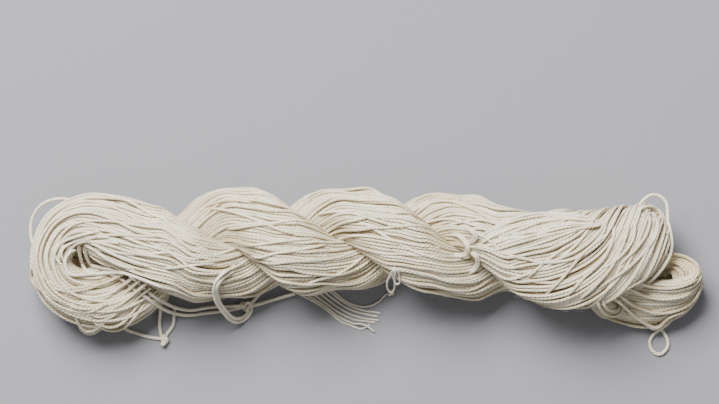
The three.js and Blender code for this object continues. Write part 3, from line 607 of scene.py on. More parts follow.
def rope_bundle(step):
    """The whole way of the yarn: under the fan, along ply A, round the fold, along ply B and the fan."""
    stations = [
        *band_stations(UNDER, [UNDER_LAY] * len(UNDER)),
        *rope_stations(0, 1, ROPE_END, ROPE_START),
        *band_stations(FOLD, FOLD_LAY, slack=FOLD_SLACK),
        *rope_stations(180, -1, ROPE_START, ROPE_END),
        *band_stations([*FAN, *TUCK], [*FAN_LAY, *TUCK_LAY], slack=FAN_SLACK),
    ]
    return bundle_of(stations, step)


def loop_bundle(step):
    """The end loop at the right, whose yarn doesn't turn round it."""
    return bundle_of(band_stations(END_LOOP, [0.0] * len(END_LOOP), slack=LOOP_SLACK), step)


def superellipse(angle):
    """X and Y on a section of size 1 that is fuller than an ellipse."""
    cosine, sine = np.cos(angle), np.sin(angle)
    return np.sign(cosine) * np.abs(cosine) ** SQUARENESS, np.sign(sine) * np.abs(sine) ** SQUARENESS


def strands_round(bundle, share, level, lowest):
    """Paths of strands at shares of the way round a bundle's sections and at depths below its skin, none
    lower than given, and the way out of the bundle at each of their points."""
    angles = np.linspace(0, 2 * np.pi, SECTION_SAMPLES + 1)
    across, deep = superellipse(angles)
    paths = np.empty((*share.shape, 3))
    outs = np.empty_like(paths)
    for i in range(len(bundle.middle)):
        wide, thick = np.linalg.norm(bundle.u[i]), np.linalg.norm(bundle.v[i])
        reach = lengths_of(np.column_stack([across * wide, deep * thick]))
        angle = np.interp((share[:, i] - bundle.shift[i]) % 1, reach / reach[-1], angles)
        cosine, sine = superellipse(angle)
        wide_share = 1 - level[:, i] / wide
        thick_share = 1 - level[:, i] / thick
        paths[:, i] = (
            bundle.middle[i]
            + bundle.u[i] * (cosine * wide_share)[:, None]
            + bundle.v[i] * (sine * thick_share)[:, None]
        )
        outs[:, i] = bundle.u[i] * (cosine / wide**2)[:, None] + bundle.v[i] * (sine / thick**2)[:, None]
    paths[:, :, 2] = np.maximum(paths[:, :, 2], lowest)
    return paths, outs / np.linalg.norm(outs, axis=2, keepdims=True)


# Strands of a bundle: heights and lengths in millimetres, shifts in widths of a strand

RANDOM_SPREAD = 0.6  # of smooth random values, so that most are within 1
START_SHIFT = 0.2  # of a strand from its even place
CLUMP_STRANDS = 4  # that draw together
CLUMP_SHIFT = 1.5
STRAY_SHIFT = 1.4  # of a strand by itself
SHIFT_WAVE = 80  # length in which strands draw together and part, or stray
RISE = 0.5  # of a strand out of its layer and into it
RISE_WAVE = 55
LEVEL_SPREAD = 0.22
CLOSENESS = 0.98  # room that a strand takes, as a share of its diameter
RELAX_ROUNDS = 60
RELAX_SHARE = 0.45

# Strands that cross over the others
CROSSING_SHIFT = 0.16  # as a share of the way round
CROSSING_WAVE = 100
CROSSING_LEVEL = -0.3  # how deep they lie, and so on in radii of the yarn
CROSSING_RISE = 1.6
CROSSING_RISE_WAVE = 60
CROSSING_TOP = -0.7


def wandering(rng, count, along, wave):
    """Smooth random curves, one a strand, that change over a wave's length."""
    knots = rng.normal(0, RANDOM_SPREAD, (count, int(along[-1] / wave) + 3))
    place = along[None, :] / wave + rng.random((count, 1))
    left = np.floor(place).astype(int)
    t = eased(place - left)
    rows = np.arange(count)[:, None]
    return knots[rows, left] * (1 - t) + knots[rows, left + 1] * t


def clumping(rng, share, along, clumps, wave):
    """A smooth random field over a bundle's skin, which draws neighbouring strands together."""
    field = rng.normal(0, RANDOM_SPREAD, (int(along[-1] / wave) + 3, clumps))
    row = np.floor(along / wave).astype(int)
    t = eased(along / wave - row)
    column = (share % 1) * clumps
    left = np.floor(column).astype(int)
    s = eased(column - left)
    low, high = (
        field[rows, left % clumps] * (1 - s) + field[rows, (left + 1) % clumps] * s for rows in (row, row + 1)
    )
    return low * (1 - t) + high * t


def perimeters(bundle, inset):
    """Length round each section of a bundle, at a depth below its skin."""
    across, deep = superellipse(np.linspace(0, 2 * np.pi, SECTION_SAMPLES + 1))
    wide = np.linalg.norm(bundle.u, axis=1)[:, None] - inset
    thick = np.linalg.norm(bundle.v, axis=1)[:, None] - inset
    return np.hypot(np.diff(across * wide, axis=1), np.diff(deep * thick, axis=1)).sum(axis=1)


def side_by_side(share, width, perimeter):
    """Shares of the way round, moved apart until neighbouring strands lie beside each other."""
    place = share * perimeter
    for _ in range(RELAX_ROUNDS):
        gap = np.roll(place, -1, axis=0) - place
        gap[-1] += perimeter
        push = np.maximum(0, (width + np.roll(width, -1, axis=0)) / 2 - gap) * RELAX_SHARE
        place += np.roll(push, 1, axis=0) - push
    return place / perimeter


def layer(bundle, count, seed, depth=0.0):
    """Strands side by side round a bundle, at a depth below its skin, with the slack of hand-wound yarn.
    Where the bundle narrows, the strands that find no room dive under the others."""
    rng = np.random.default_rng(seed)
    radius = yarn_radius()
    along = bundle.along
    perimeter = perimeters(bundle, radius + depth)
    base = (np.arange(count) + rng.uniform(-START_SHIFT, START_SHIFT, count))[:, None] / count
    share = np.repeat(base, len(along), axis=1)
    clumps = round(count / CLUMP_STRANDS)
    share += clumping(rng, share, along, clumps, SHIFT_WAVE) * CLUMP_SHIFT * bundle.slack / count
    share += wandering(rng, count, along, SHIFT_WAVE) * STRAY_SHIFT * bundle.slack / count
    crowd = np.maximum(0, count * 2 * radius - perimeter) / (2 * radius)
    dive = eased(crowd[None, :] - rng.permutation(count)[:, None])
    share = side_by_side(share, 2 * radius * CLOSENESS * (1 - dive), perimeter)
    level = radius + depth + wandering(rng, count, along, RISE_WAVE) * RISE * bundle.slack + dive * 2 * radius
    level += rng.normal(0, LEVEL_SPREAD, (count, 1))
    return strands_round(bundle, share, level, radius)


def crossing(bundle, count, seed):
    """Strands that lie over the outer layer at a slant, and dive into it here and there."""
    rng = np.random.default_rng(seed)
    radius = yarn_radius()
    along = bundle.along
    share = (np.arange(count)[:, None] + rng.random((count, 1))) / count
    share = share + wandering(rng, count, along, CROSSING_WAVE) * CROSSING_SHIFT * bundle.slack
    level = radius * (CROSSING_LEVEL + CROSSING_RISE * wandering(rng, count, along, CROSSING_RISE_WAVE))
    level = np.maximum(level, CROSSING_TOP * radius)
    return strands_round(bundle, share, level, radius)


# Yarn tubes, by geometry nodes

TREE_INPUTS = {"Paths": "Geometry", "Yarn radius": "Float", "Sides": "Int", "Material": "Material"}
MERGE_DISTANCE = 2e-6  # in metres, which closes the seam and the ends of each tube
UPWARD_SHARE = 0.62  # how clear of painted crease shade yarn is where it faces up, towards the light, on the bundle's side too
SLUB = 0.07  # how much thicker and thinner the yarn gets, as a share of its radius
SLUB_WAVE = 9
STRAND_SPREAD = 0.7  # of the thickness of whole strands, in slubs


def yarn_tree():
    """Sweeps a round section along every path, and gives the tubes their own UV map in metres."""
    tree = bpy.data.node_groups.new("sweep yarn", "GeometryNodeTree")
    for name, kind in TREE_INPUTS.items():
        tree.interface.new_socket(name, in_out="INPUT", socket_type="NodeSocket" + kind)
    tree.interface.new_socket("Yarn", in_out="OUTPUT", socket_type="NodeSocketGeometry")
    given = add_node(tree, "NodeGroupInput").outputs

    # The tubes
    curve = add_node(tree, "GeometryNodeMeshToCurve", {"Mesh": given["Paths"]})
    swell = add_node(tree, "GeometryNodeInputNamedAttribute", {"Name": "swell"}, data_type="FLOAT")
    thick = add_node(
        tree, "GeometryNodeSetCurveRadius", {"Curve": curve.outputs[0], "Radius": swell.outputs[0]}
    )
    place = add_node(tree, "GeometryNodeSplineParameter")
    path = add_node(tree, "GeometryNodeCaptureAttribute", {"Geometry": thick.outputs[0]}, domain="POINT")
    path.capture_items.new("FLOAT", "along")
    tree.links.new(place.outputs["Length"], path.inputs["along"])
    more = add_node(tree, "FunctionNodeIntegerMath", {0: given["Sides"], 1: 1}, operation="ADD")
    ring = add_node(
        tree, "GeometryNodeCurveArc",
        {"Resolution": more.outputs[0], "Radius": given["Yarn radius"], "Start Angle": 0.0,
         "Sweep Angle": math.tau},
        mode="RADIUS",
    )
    place = add_node(tree, "GeometryNodeSplineParameter")
    section = add_node(
        tree, "GeometryNodeCaptureAttribute", {"Geometry": ring.outputs["Curve"]}, domain="POINT"
    )
    section.capture_items.new("FLOAT", "around")
    tree.links.new(place.outputs["Factor"], section.inputs["around"])
    tube = add_node(
        tree, "GeometryNodeCurveToMesh",
        {"Curve": path.outputs["Geometry"], "Profile Curve": section.outputs["Geometry"]},
    )
    uv = add_node(tree, "ShaderNodeCombineXYZ", {0: section.outputs["around"], 1: path.outputs["along"]})
    mapped = add_node(
        tree, "GeometryNodeStoreNamedAttribute",
        {"Geometry": tube.outputs[0], "Name": "UVMap", "Value": uv.outputs[0]},
        data_type="FLOAT2", domain="CORNER",
    )
    closed = add_node(
        tree, "GeometryNodeMergeByDistance", {"Geometry": mapped.outputs[0], "Distance": MERGE_DISTANCE}
    )

    # How openly the yarn faces out of its bundle or up, for the painted shade in its creases
    out = add_node(tree, "GeometryNodeInputNamedAttribute", {"Name": "out"}, data_type="FLOAT_VECTOR")
    normal = add_node(tree, "GeometryNodeInputNormal")
    facing = add_node(
        tree, "ShaderNodeVectorMath", {0: normal.outputs[0], 1: out.outputs[0]}, operation="DOT_PRODUCT"
    )
    level = add_node(tree, "ShaderNodeSeparateXYZ", {0: normal.outputs[0]})
    raised = add_node(tree, "ShaderNodeMath", {0: level.outputs[2], 1: UPWARD_SHARE}, operation="MULTIPLY")
    clear = add_node(
        tree, "ShaderNodeMath", {0: facing.outputs["Value"], 1: raised.outputs[0]}, operation="MAXIMUM"
    )
    open_share = add_node(
        tree, "GeometryNodeSwitch",
        {"Switch": out.outputs["Exists"], "False": 1.0, "True": clear.outputs[0]}, input_type="FLOAT",
    )
    opened = add_node(
        tree, "GeometryNodeStoreNamedAttribute",
        {"Geometry": closed.outputs[0], "Name": "open", "Value": open_share.outputs[0]},
        data_type="FLOAT", domain="POINT",
    )
    rounded = add_node(tree, "GeometryNodeSetShadeSmooth", {"Geometry": opened.outputs[0]})
    real = add_node(tree, "GeometryNodeRealizeInstances", {"Geometry": rounded.outputs[0]})
    made = add_node(
        tree, "GeometryNodeSetMaterial", {"Geometry": real.outputs[0], "Material": given["Material"]}
    )
    add_node(tree, "NodeGroupOutput", {"Yarn": made.outputs[0]})
    return tree


def linked(name, mesh):
    """An object of the scene that holds a mesh."""
    thing = bpy.data.objects.new(name, mesh)
    bpy.context.scene.collection.objects.link(thing)
    return thing


def yarn_piece(name, paths, radius, sides, material, seed, slub=SLUB, outs=None):
    """A piece of yarn tubes along paths in millimetres, whose ends are rounded off."""
    rng = np.random.default_rng(seed)
    verts, edges, swell, shade = [], [], [], []
    start = 0
    for path in paths:
        length = lengths_of(path)
        reach = np.minimum(length, length[-1] - length)
        ends = np.sqrt(np.clip(1 - (1 - np.clip(reach / radius, 0, 1)) ** 2, 0, 1))
        slubs = 1 + slub * (wandering(rng, 1, length, SLUB_WAVE)[0] + rng.normal(0, STRAND_SPREAD))
        swell.append(ends * slubs)
        shade.append(np.full(len(path), rng.random()))
        verts.append(path * MM)
        rows = np.arange(start, start + len(path) - 1)
        edges.append(np.column_stack([rows, rows + 1]))
        start += len(path)
    lines = bpy.data.meshes.new(name + "_paths")
    lines.from_pydata(np.vstack(verts), np.vstack(edges), [])
    for attribute, values in (("swell", swell), ("shade", shade)):
        lines.attributes.new(attribute, "FLOAT", "POINT").data.foreach_set("value", np.concatenate(values))
    if outs is not None:
        ways = lines.attributes.new("out", "FLOAT_VECTOR", "POINT")
        ways.data.foreach_set("vector", np.vstack(outs).ravel())
    carrier = linked(name + "_paths", lines)
    modifier = carrier.modifiers.new("yarn", "NODES")
    modifier.node_group = bpy.data.node_groups.get("sweep yarn") or yarn_tree()
    sockets = {item.name: item.identifier for item in modifier.node_group.interface.items_tree}
    modifier[sockets["Yarn radius"]] = radius * MM
    modifier[sockets["Sides"]] = sides
    modifier[sockets["Material"]] = material
    made = carrier.evaluated_get(bpy.context.evaluated_depsgraph_get())
    mesh = bpy.data.meshes.new_from_object(made)
    mesh.name = name
    bpy.data.objects.remove(carrier)
    piece = linked(name, mesh)
    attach(piece, ROOT)
    return piece


# Materials

GROOVES_ROUND = 3  # plies of the yarn
FIBRE_STRETCH = (6.0, 300.0, 1.0)  # noise cells once round the yarn, and in each metre along it
OWN_PHASE = 17.0  # how far the twist of one strand may be shifted from another's, in grooves
OWN_PLACE = (37.0, 91.0, 53.0)  # and its fibres, in noise cells
PAINTED_GROOVE_SHADE = (0.0, 0.65, 0.32, 0.0)  # from and to on a ridge's height, and how deep the colour of the painted shade in the grooves is there
STREAK_TONES = (0.35, 0.75, 0.0, 0.4)  # and so on for the fibres
PAINTED_CREASE_SHADE = (0.9, 0.3, 0.0, 0.9)  # and for how openly the yarn faces out, as painted shade in its creases
FIBRE_ROUGHNESS = (0.3, 0.7, 0.46, 0.66)
FIBRE_RELIEF = 0.9  # height of the fibres, in ridges
RELIEF = 0.00018  # height of a ridge in metres


def empty_material(name):
    material = bpy.data.materials.new(name)
    material.use_nodes = True
    material.node_tree.nodes.clear()
    return material


def linen(name, colour, deep, twist_length, warmth):
    """Half-bleached linen: long matt fibres, plied so that fine slanting grooves run round the yarn."""
    material = empty_material(name)
    tree = material.node_tree
    uv = add_node(tree, "ShaderNodeUVMap", uv_map="UVMap")
    parts = add_node(tree, "ShaderNodeSeparateXYZ", {0: uv.outputs[0]})
    shade = add_node(tree, "ShaderNodeAttribute", attribute_name="shade").outputs["Fac"]
    side = add_node(tree, "ShaderNodeAttribute", attribute_name="open").outputs["Fac"]

    # Grooves between the plies of the yarn
    around = add_node(tree, "ShaderNodeMath", {0: parts.outputs[0], 1: GROOVES_ROUND}, operation="MULTIPLY")
    turns = add_node(
        tree, "ShaderNodeMath",
        {0: parts.outputs[1], 1: 1 / (twist_length * MM), 2: around.outputs[0]}, operation="MULTIPLY_ADD",
    )
    phase = add_node(
        tree, "ShaderNodeMath", {0: shade, 1: OWN_PHASE, 2: turns.outputs[0]}, operation="MULTIPLY_ADD"
    )
    angle = add_node(tree, "ShaderNodeMath", {0: phase.outputs[0], 1: math.pi}, operation="MULTIPLY")
    wave = add_node(tree, "ShaderNodeMath", {0: angle.outputs[0]}, operation="SINE")
    ridge = add_node(tree, "ShaderNodeMath", {0: wave.outputs[0]}, operation="ABSOLUTE").outputs[0]

    # Fibres that lie along the yarn
    stretched = add_node(
        tree, "ShaderNodeVectorMath", {0: uv.outputs[0], 1: FIBRE_STRETCH}, operation="MULTIPLY"
    )
    own = add_node(tree, "ShaderNodeVectorMath", {0: shade, 1: OWN_PLACE}, operation="MULTIPLY")
    place = add_node(
        tree, "ShaderNodeVectorMath", {0: stretched.outputs[0], 1: own.outputs[0]}, operation="ADD"
    )
    fibre = add_node(
        tree, "ShaderNodeTexNoise",
        {"Vector": place.outputs[0], "Scale": 1.0, "Detail": 4.0, "Roughness": 0.65},
    ).outputs[0]

    # Colour: each strand its own tone, with streaks along the fibres, and warmer and darker as painted shade
    # in its grooves and in creases between strands
    own_tone = add_node(tree, "ShaderNodeMath", {0: shade, 1: warmth}, operation="MULTIPLY")
    groove_shade, streak, crease_shade, rough = (
        add_node(tree, "ShaderNodeMapRange", dict(enumerate((value, *tones))), interpolation_type=curve)
        for value, tones, curve in (
            (ridge, PAINTED_GROOVE_SHADE, "LINEAR"),
            (fibre, STREAK_TONES, "LINEAR"),
            (side, PAINTED_CREASE_SHADE, "SMOOTHSTEP"),
            (fibre, FIBRE_ROUGHNESS, "LINEAR"),
        )
    )
    tone = (*colour, 1)
    for share in (own_tone, groove_shade, streak, crease_shade):
        mix = add_node(
            tree, "ShaderNodeMix", {0: share.outputs[0], 6: tone, 7: (*deep, 1)}, data_type="RGBA"
        )
        tone = mix.outputs[2]

    height = add_node(tree, "ShaderNodeMath", {0: fibre, 1: FIBRE_RELIEF, 2: ridge}, operation="MULTIPLY_ADD")
    bump = add_node(
        tree, "ShaderNodeBump", {"Strength": 1.0, "Distance": RELIEF, "Height": height.outputs[0]}
    )
    shader = add_node(
        tree, "ShaderNodeBsdfPrincipled",
        {
            "Base Color": tone,
            "Roughness": rough.outputs[0],
            "Specular IOR Level": 0.55,
            "Sheen Weight": 0.25,
            "Sheen Roughness": 0.4,
            "Subsurface Weight": 0.2,
            "Subsurface Radius": (1.0, 0.75, 0.45),
            "Subsurface Scale": 0.0007,
            "Normal": bump.outputs[0],
        },
    )
    add_node(tree, "ShaderNodeOutputMaterial", {"Surface": shader.outputs[0]})
    return material


def linen_once(name, colour, deep, twist_length, warmth):
    """Linen of this name, which is made when it is first asked for."""
    return bpy.data.materials.get(name) or linen(name, colour, deep, twist_length, warmth)


def plied_linen():
    """The hank's own yarn, of three plies."""
    colours = bpy.context.scene.hank_colours
    return linen_once("plied half-bleached linen", colours.yarn, colours.deep, twist_length=1.7, warmth=0.32)


def inner_linen_painted_shade():
    """The strands of the second layer, in a darker, warmer copy of the yarn's colour as painted shade."""
    colours = bpy.context.scene.hank_colours
    return linen_once("second layer linen in painted shade", colours.inner, colours.deep, twist_length=1.6, warmth=0.5)


def shaded_linen():
    """The same yarn in the middle of the bundle, darker and warmer as painted shade in the gaps between
    strands.
    """
    colours = bpy.context.scene.hank_colours
    return linen_once("core linen in painted shade", colours.core, colours.core, twist_length=1.6, warmth=0.0)


def thin_linen():
    """The thinner yarn of the cut ends, with a tighter twist."""
    colours = bpy.context.scene.hank_colours
    return linen_once("thin bleached linen", colours.tie, colours.deep, twist_length=1.2, warmth=0.15)


def matt_paper():
    """The studio floor: seamless matt paper, with a faint grain."""
    material = empty_material("pale matt paper")
    tree = material.node_tree
    place = add_node(tree, "ShaderNodeTexCoord")
    grain = add_node(tree, "ShaderNodeTexNoise", {"Vector": place.outputs["Object"], "Scale": 900.0})
    bump = add_node(
        tree, "ShaderNodeBump", {"Strength": 0.05, "Distance": 0.0001, "Height": grain.outputs[0]}
    )
    shader = add_node(
        tree, "ShaderNodeBsdfPrincipled",
        {
            "Base Color": (*bpy.context.scene.hank_colours.floor, 1),
            "Roughness": 0.85,
            "Specular IOR Level": 0.2,
            "Normal": bump.outputs[0],
        },
    )
    add_node(tree, "ShaderNodeOutputMaterial", {"Surface": shader.outputs[0]})
    return material


# Strands laid over the hank or on the table, in millimetres

TIE_STEP = 0.9  # length of a tie between two of its points, in diameters
TURN_STEP = 1.2  # length of a single turn between two of its points
STEEPEST = 1.6  # steepest slope of a tie that comes off the hank
TIE_GAP = 0.12  # between a tie and the strands that it lies on
TIE_EVENING = 4  # rounds in which the heights of a tie are evened out
TURN_EVENING = 12  # and of a laid turn
DIVE_LENGTH = 6.0  # in which a laid turn comes out of the bundle
DIVE_DEPTH = 3.2  # from which it comes
NESTLE = 0.7  # how deep a laid turn lies between its neighbours
HANK_MIDDLE = 7.0  # Y of the middle of the hank
HANK_REACH = 16.0  # from there to where its side leans by 45 degrees
DOUBLE_GAP = 0.45  # between doubled strands, in diameters
KNOT_POINTS = 40
KNOT_INSETS = (0.5, 0.4)  # of the strand's path in a knot's length and width, in radii
KNOT_LIFT = 0.3
SKY = 1  # height in metres from which heights are measured


def laid_on_table(rows, diameter):
    """Points of a strand on the table, or held at its own heights."""
    given = np.array([(x, y, height[0] if height else diameter / 2) for x, y, *height in rows], float)
    points = spaced(given, TIE_STEP * diameter)
    points[:, 2] = np.maximum(points[:, 2], diameter / 2)
    return points


def laid_over(rows, diameter, skins, rounds):
    """Points of a strand laid over the yarn below it as well, no steeper than yarn hangs."""
    reach = diameter / 2
    points = laid_on_table(rows, diameter)
    places = lengths_of(points[:, :2])
    under = np.zeros(len(points))
    for dx, dy in ((0, 0), (reach, 0), (-reach, 0), (0, reach), (0, -reach)):
        for i, (x, y, _) in enumerate(points):
            start = Vector(((x + dx) * MM, (y + dy) * MM, SKY))
            for skin in skins:
                hit = skin.ray_cast(start, Vector((0, 0, -1)))[0]
                if hit:
                    under[i] = max(under[i], hit.z / MM)
    points[:, 2] = np.maximum(points[:, 2], np.where(under > 0, under + reach + TIE_GAP, 0))
    held = points[None, :, 2] - STEEPEST * np.abs(places[:, None] - places[None, :])
    points[:, 2] = held.max(axis=1)
    for _ in range(rounds):
        padded = np.pad(points[:, 2], 1, mode="edge")
        points[:, 2] = np.maximum(points[:, 2], (padded[:-2] + padded[1:-1] + padded[2:]) / 3)
    return points


def diving(points, one_end=False):
    """The points of a laid strand, which dives into the bundle at its ends, or at its last end only."""
    along = lengths_of(points)
    reach = along[-1] - along
    if not one_end:
        reach = np.minimum(reach, along)
    points[:, 2] -= DIVE_DEPTH * (1 - eased(reach / DIVE_LENGTH))
    return points


def laid_turn(rows, skins):
    """Points of a turn laid over the bundle, which dives into it at both ends."""
    radius = yarn_radius()
    points = diving(laid_over(rows, 2 * radius, skins, TURN_EVENING))
    points[:, 2] = np.maximum(points[:, 2] - NESTLE, radius)
    return points


def faced(path):
    """The way out of the hank at each point of a strand that lies over it, for the painted shade in its
    creases.
    """
    lean = (path[:, 1] - HANK_MIDDLE) / HANK_REACH
    outs = np.column_stack([np.zeros(len(path)), lean, np.ones(len(path))])
    return outs / np.linalg.norm(outs, axis=1, keepdims=True)


def halfway(path, other):
    """A path halfway between two others."""
    count = min(len(path), len(other))
    places = np.linspace(0, 1, count)
    rows = [
        np.column_stack([np.interp(places, np.linspace(0, 1, len(way)), axis) for axis in way.T])
        for way in (path, other)
    ]
    return (rows[0] + rows[1]) / 2


def with_halfway(turns):
    """Level paths of turns, and of one more between each two of them."""
    paths = [spaced(np.array([(*row, 0) for row in rows]), TURN_STEP) for rows in turns]
    return [halfway(paths[k // 2], paths[(k + 1) // 2])[:, :2] for k in range(2 * len(paths) - 1)]


def beside(path, gap):
    """A strand beside another on the same skin."""
    run = np.gradient(path, axis=0)
    across = np.column_stack([-run[:, 1], run[:, 0], np.zeros(len(path))])
    return path + across / np.linalg.norm(across, axis=1, keepdims=True) * gap


def overhand_knot(knot):
    """An overhand knot drawn tight, as a trefoil squeezed into the knot's size."""
    t = np.linspace(0, math.tau, KNOT_POINTS)
    radius = yarn_radius()
    long, wide = knot.long - KNOT_INSETS[0] * radius, knot.wide - KNOT_INSETS[1] * radius
    x = (np.sin(t) + 2 * np.sin(2 * t)) / 3 * long
    y = (np.cos(t) - 2 * np.cos(2 * t)) / 3 * wide
    z = -np.sin(3 * t) * (knot.high - radius)
    turn = math.radians(knot.turn)
    return np.column_stack(
        [
            knot.x + x * math.cos(turn) - y * math.sin(turn),
            knot.y + x * math.sin(turn) + y * math.cos(turn),
            np.maximum(knot.z + z + KNOT_LIFT * radius, radius),
        ]
    )


def tie_piece(name, tie, skins, seed):
    """A tie of one of the hank's nodes, with its strands and knots."""
    yarn = bpy.context.scene.hank_yarn
    thin = name in SINGLE_YARN_TIES
    diameter = (yarn.single_diameter if thin else yarn.diameter) / MM
    paths = [laid_over(rows, diameter, skins, TIE_EVENING) for rows in tie.over]
    paths += [diving(laid_over(rows, diameter, skins, TIE_EVENING), one_end=True) for rows in tie.dives]
    if name in DOUBLED_TIES:
        paths = [diving(path) for path in paths]
        paths += [beside(path, DOUBLE_GAP * diameter) for path in paths]
    paths += [laid_on_table(rows, diameter) for rows in tie.under]
    paths += [overhand_knot(knot) for knot in tie.knots]
    material = plied_linen() if name in DOUBLED_TIES else thin_linen()
    piece = yarn_piece(name + "_yarn", paths, diameter / 2, 10, material, seed)
    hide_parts(name)
    return piece


# Pieces of the hank

TURNS_SEED = 51
BUNCH_SPREAD = 0.5  # of the turns that lie beside a loose one
BUNCH_RISE = 0.5  # of each over the one before
SPREAD_SHIFT = 0.35  # of a turn that spreads from the pinch
NESTED_SHIFT = 0.2  # and of one nested in the end loop
DEEP_SHIFT = 0.3  # and of one deep in the hank
SLACK_LEVEL = -0.2  # of the turns by rule, and how far each lies off it
SLACK_RISE = 0.35
SLACK_RISE_WAVE = 15
SLACK_SWAY = 0.5
SLACK_SWAY_WAVE = 18

# Loose fibres
HAIR_POINTS = 5
HAIR_RADIUS = 0.045
HAIR_LENGTHS = (0.8, 4.5)
HAIR_LIFTS = (0.25, 0.9)  # how far a fibre stands off the yarn, for its length
HAIR_LEAN = 0.45  # how far it bends to one side, for its length
HAIR_HEIGHT = 0.7  # its height and its reach along the yarn, for its length
HAIR_REACH = 0.8
HAIR_ROOT = 0.5  # from the middle of its strand
HAIR_MARGIN = 4  # points at the ends of a strand that hold none

OUTER_SEED = 11


def stands_for_hank(piece):
    """Hides the hank's solid, where a piece of yarn stands in for it."""
    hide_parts("hank")


def hank_yarn(name, strands, sides, material, seed):
    """A piece of the hank's yarn along strands, given as paths and the ways out of their bundle."""
    paths, outs = strands
    stands_for_hank(yarn_piece(name, paths, yarn_radius(), sides, material, seed, outs=outs))


def bundle_skin(name, bundle):
    """A closed skin deep in a bundle, which fills it behind its strands."""
    share = np.repeat((np.arange(CORE_POINTS) / CORE_POINTS)[:, None], len(bundle.middle), axis=1)
    level = np.full(share.shape, CORE_DEPTH)
    rings = strands_round(bundle, share, level, CORE_DEPTH)[0].transpose(1, 0, 2)
    count = len(rings)
    verts = np.vstack([rings.reshape(-1, 3), rings[0].mean(axis=0), rings[-1].mean(axis=0)]) * MM
    first, last = count * CORE_POINTS, (count - 1) * CORE_POINTS
    faces, uvs = [], []
    for i in range(count - 1):
        low, high = bundle.along[i] * MM, bundle.along[i + 1] * MM
        near, far = i * CORE_POINTS, (i + 1) * CORE_POINTS
        for j in range(CORE_POINTS):
            after = (j + 1) % CORE_POINTS
            left, right = j / CORE_POINTS, (j + 1) / CORE_POINTS
            faces.append((near + j, near + after, far + after, far + j))
            uvs += [(left, low), (right, low), (right, high), (left, high)]
    for j in range(CORE_POINTS):
        after = (j + 1) % CORE_POINTS
        faces.append((first, after, j))
        faces.append((first + 1, last + j, last + after))
        uvs += [(0.5, 0), (1, 0), (0, 0)] * 2
    mesh = bpy.data.meshes.new(name)
    mesh.from_pydata(verts, [], faces)
    mesh.uv_layers.new(name="UVMap").data.foreach_set("uv", np.array(uvs, np.float32).ravel())
    mesh.attributes.new("shade", "FLOAT", "POINT").data.foreach_set("value", np.full(len(verts), 0.5))
    # The core takes a darker copy of the yarn's colour, as painted shade in the gaps.
    mesh.materials.append(shaded_linen())
    mesh.shade_smooth()
    piece = linked(name, mesh)
    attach(piece, ROOT)
    stands_for_hank(piece)


def skins_of(names):
    """Search trees of made pieces, to lay yarn over them."""
    graph = bpy.context.evaluated_depsgraph_get()
    return [BVHTree.FromObject(bpy.data.objects[name], graph) for name in names]


def bunched_turns(rng):
    """Paths of the loose turns, and of the strands that lie beside each of them."""
    paths = []
    for name, rows in LOOSE_TURNS.items():
        turn = spaced(np.array(rows, float), TURN_STEP)
        more, draw = TURN_BUNCHES[name]
        root = (turn[0] + turn[-1]) / 2
        for k in range(more + 1):
            strand = root + (turn - root) * (1 - draw * k) + rng.normal(0, BUNCH_SPREAD, 3) * min(k, 1)
            strand[:, 2] = np.maximum(strand[:, 2] + BUNCH_RISE * k, yarn_radius())
            paths.append(strand)
    return paths


def slacken(rng, path):
    """Gives a turn that is laid by rule its own height and sway."""
    level = rng.normal(SLACK_LEVEL, SLACK_RISE)
    path[:, 2] += level + SLACK_RISE * wandering(rng, 1, lengths_of(path), SLACK_RISE_WAVE)[0]
    path[:, 1] += SLACK_SWAY * wandering(rng, 1, lengths_of(path), SLACK_SWAY_WAVE)[0]


def hair_paths(bundle, paths, count, seed):
    """Loose fibres that lift off strands of a bundle and bend over along them."""
    rng = np.random.default_rng(seed)
    t = np.linspace(0, 1, HAIR_POINTS)[:, None]
    hairs = []
    for _ in range(count):
        path = paths[rng.integers(len(paths))]
        i = rng.integers(HAIR_MARGIN, len(path) - HAIR_MARGIN)
        out = path[i] - bundle.middle[i]
        out /= np.linalg.norm(out)
        run = path[i + 1] - path[i]
        run *= rng.choice([-1, 1]) / np.linalg.norm(run)
        side = np.cross(out, run)
        long = rng.uniform(*HAIR_LENGTHS)
        lift = rng.uniform(*HAIR_LIFTS)
        lean = rng.normal(0, HAIR_LEAN)
        bend = out * (HAIR_ROOT + long * lift * np.sin(t * math.pi / 2) * HAIR_HEIGHT)
        hair = path[i] + bend + run * (t * long * HAIR_REACH) + side * (t * t * long * lean)
        hair[:, 2] = np.maximum(hair[:, 2], HAIR_RADIUS)
        hairs.append(hair)
    return hairs


# Operators


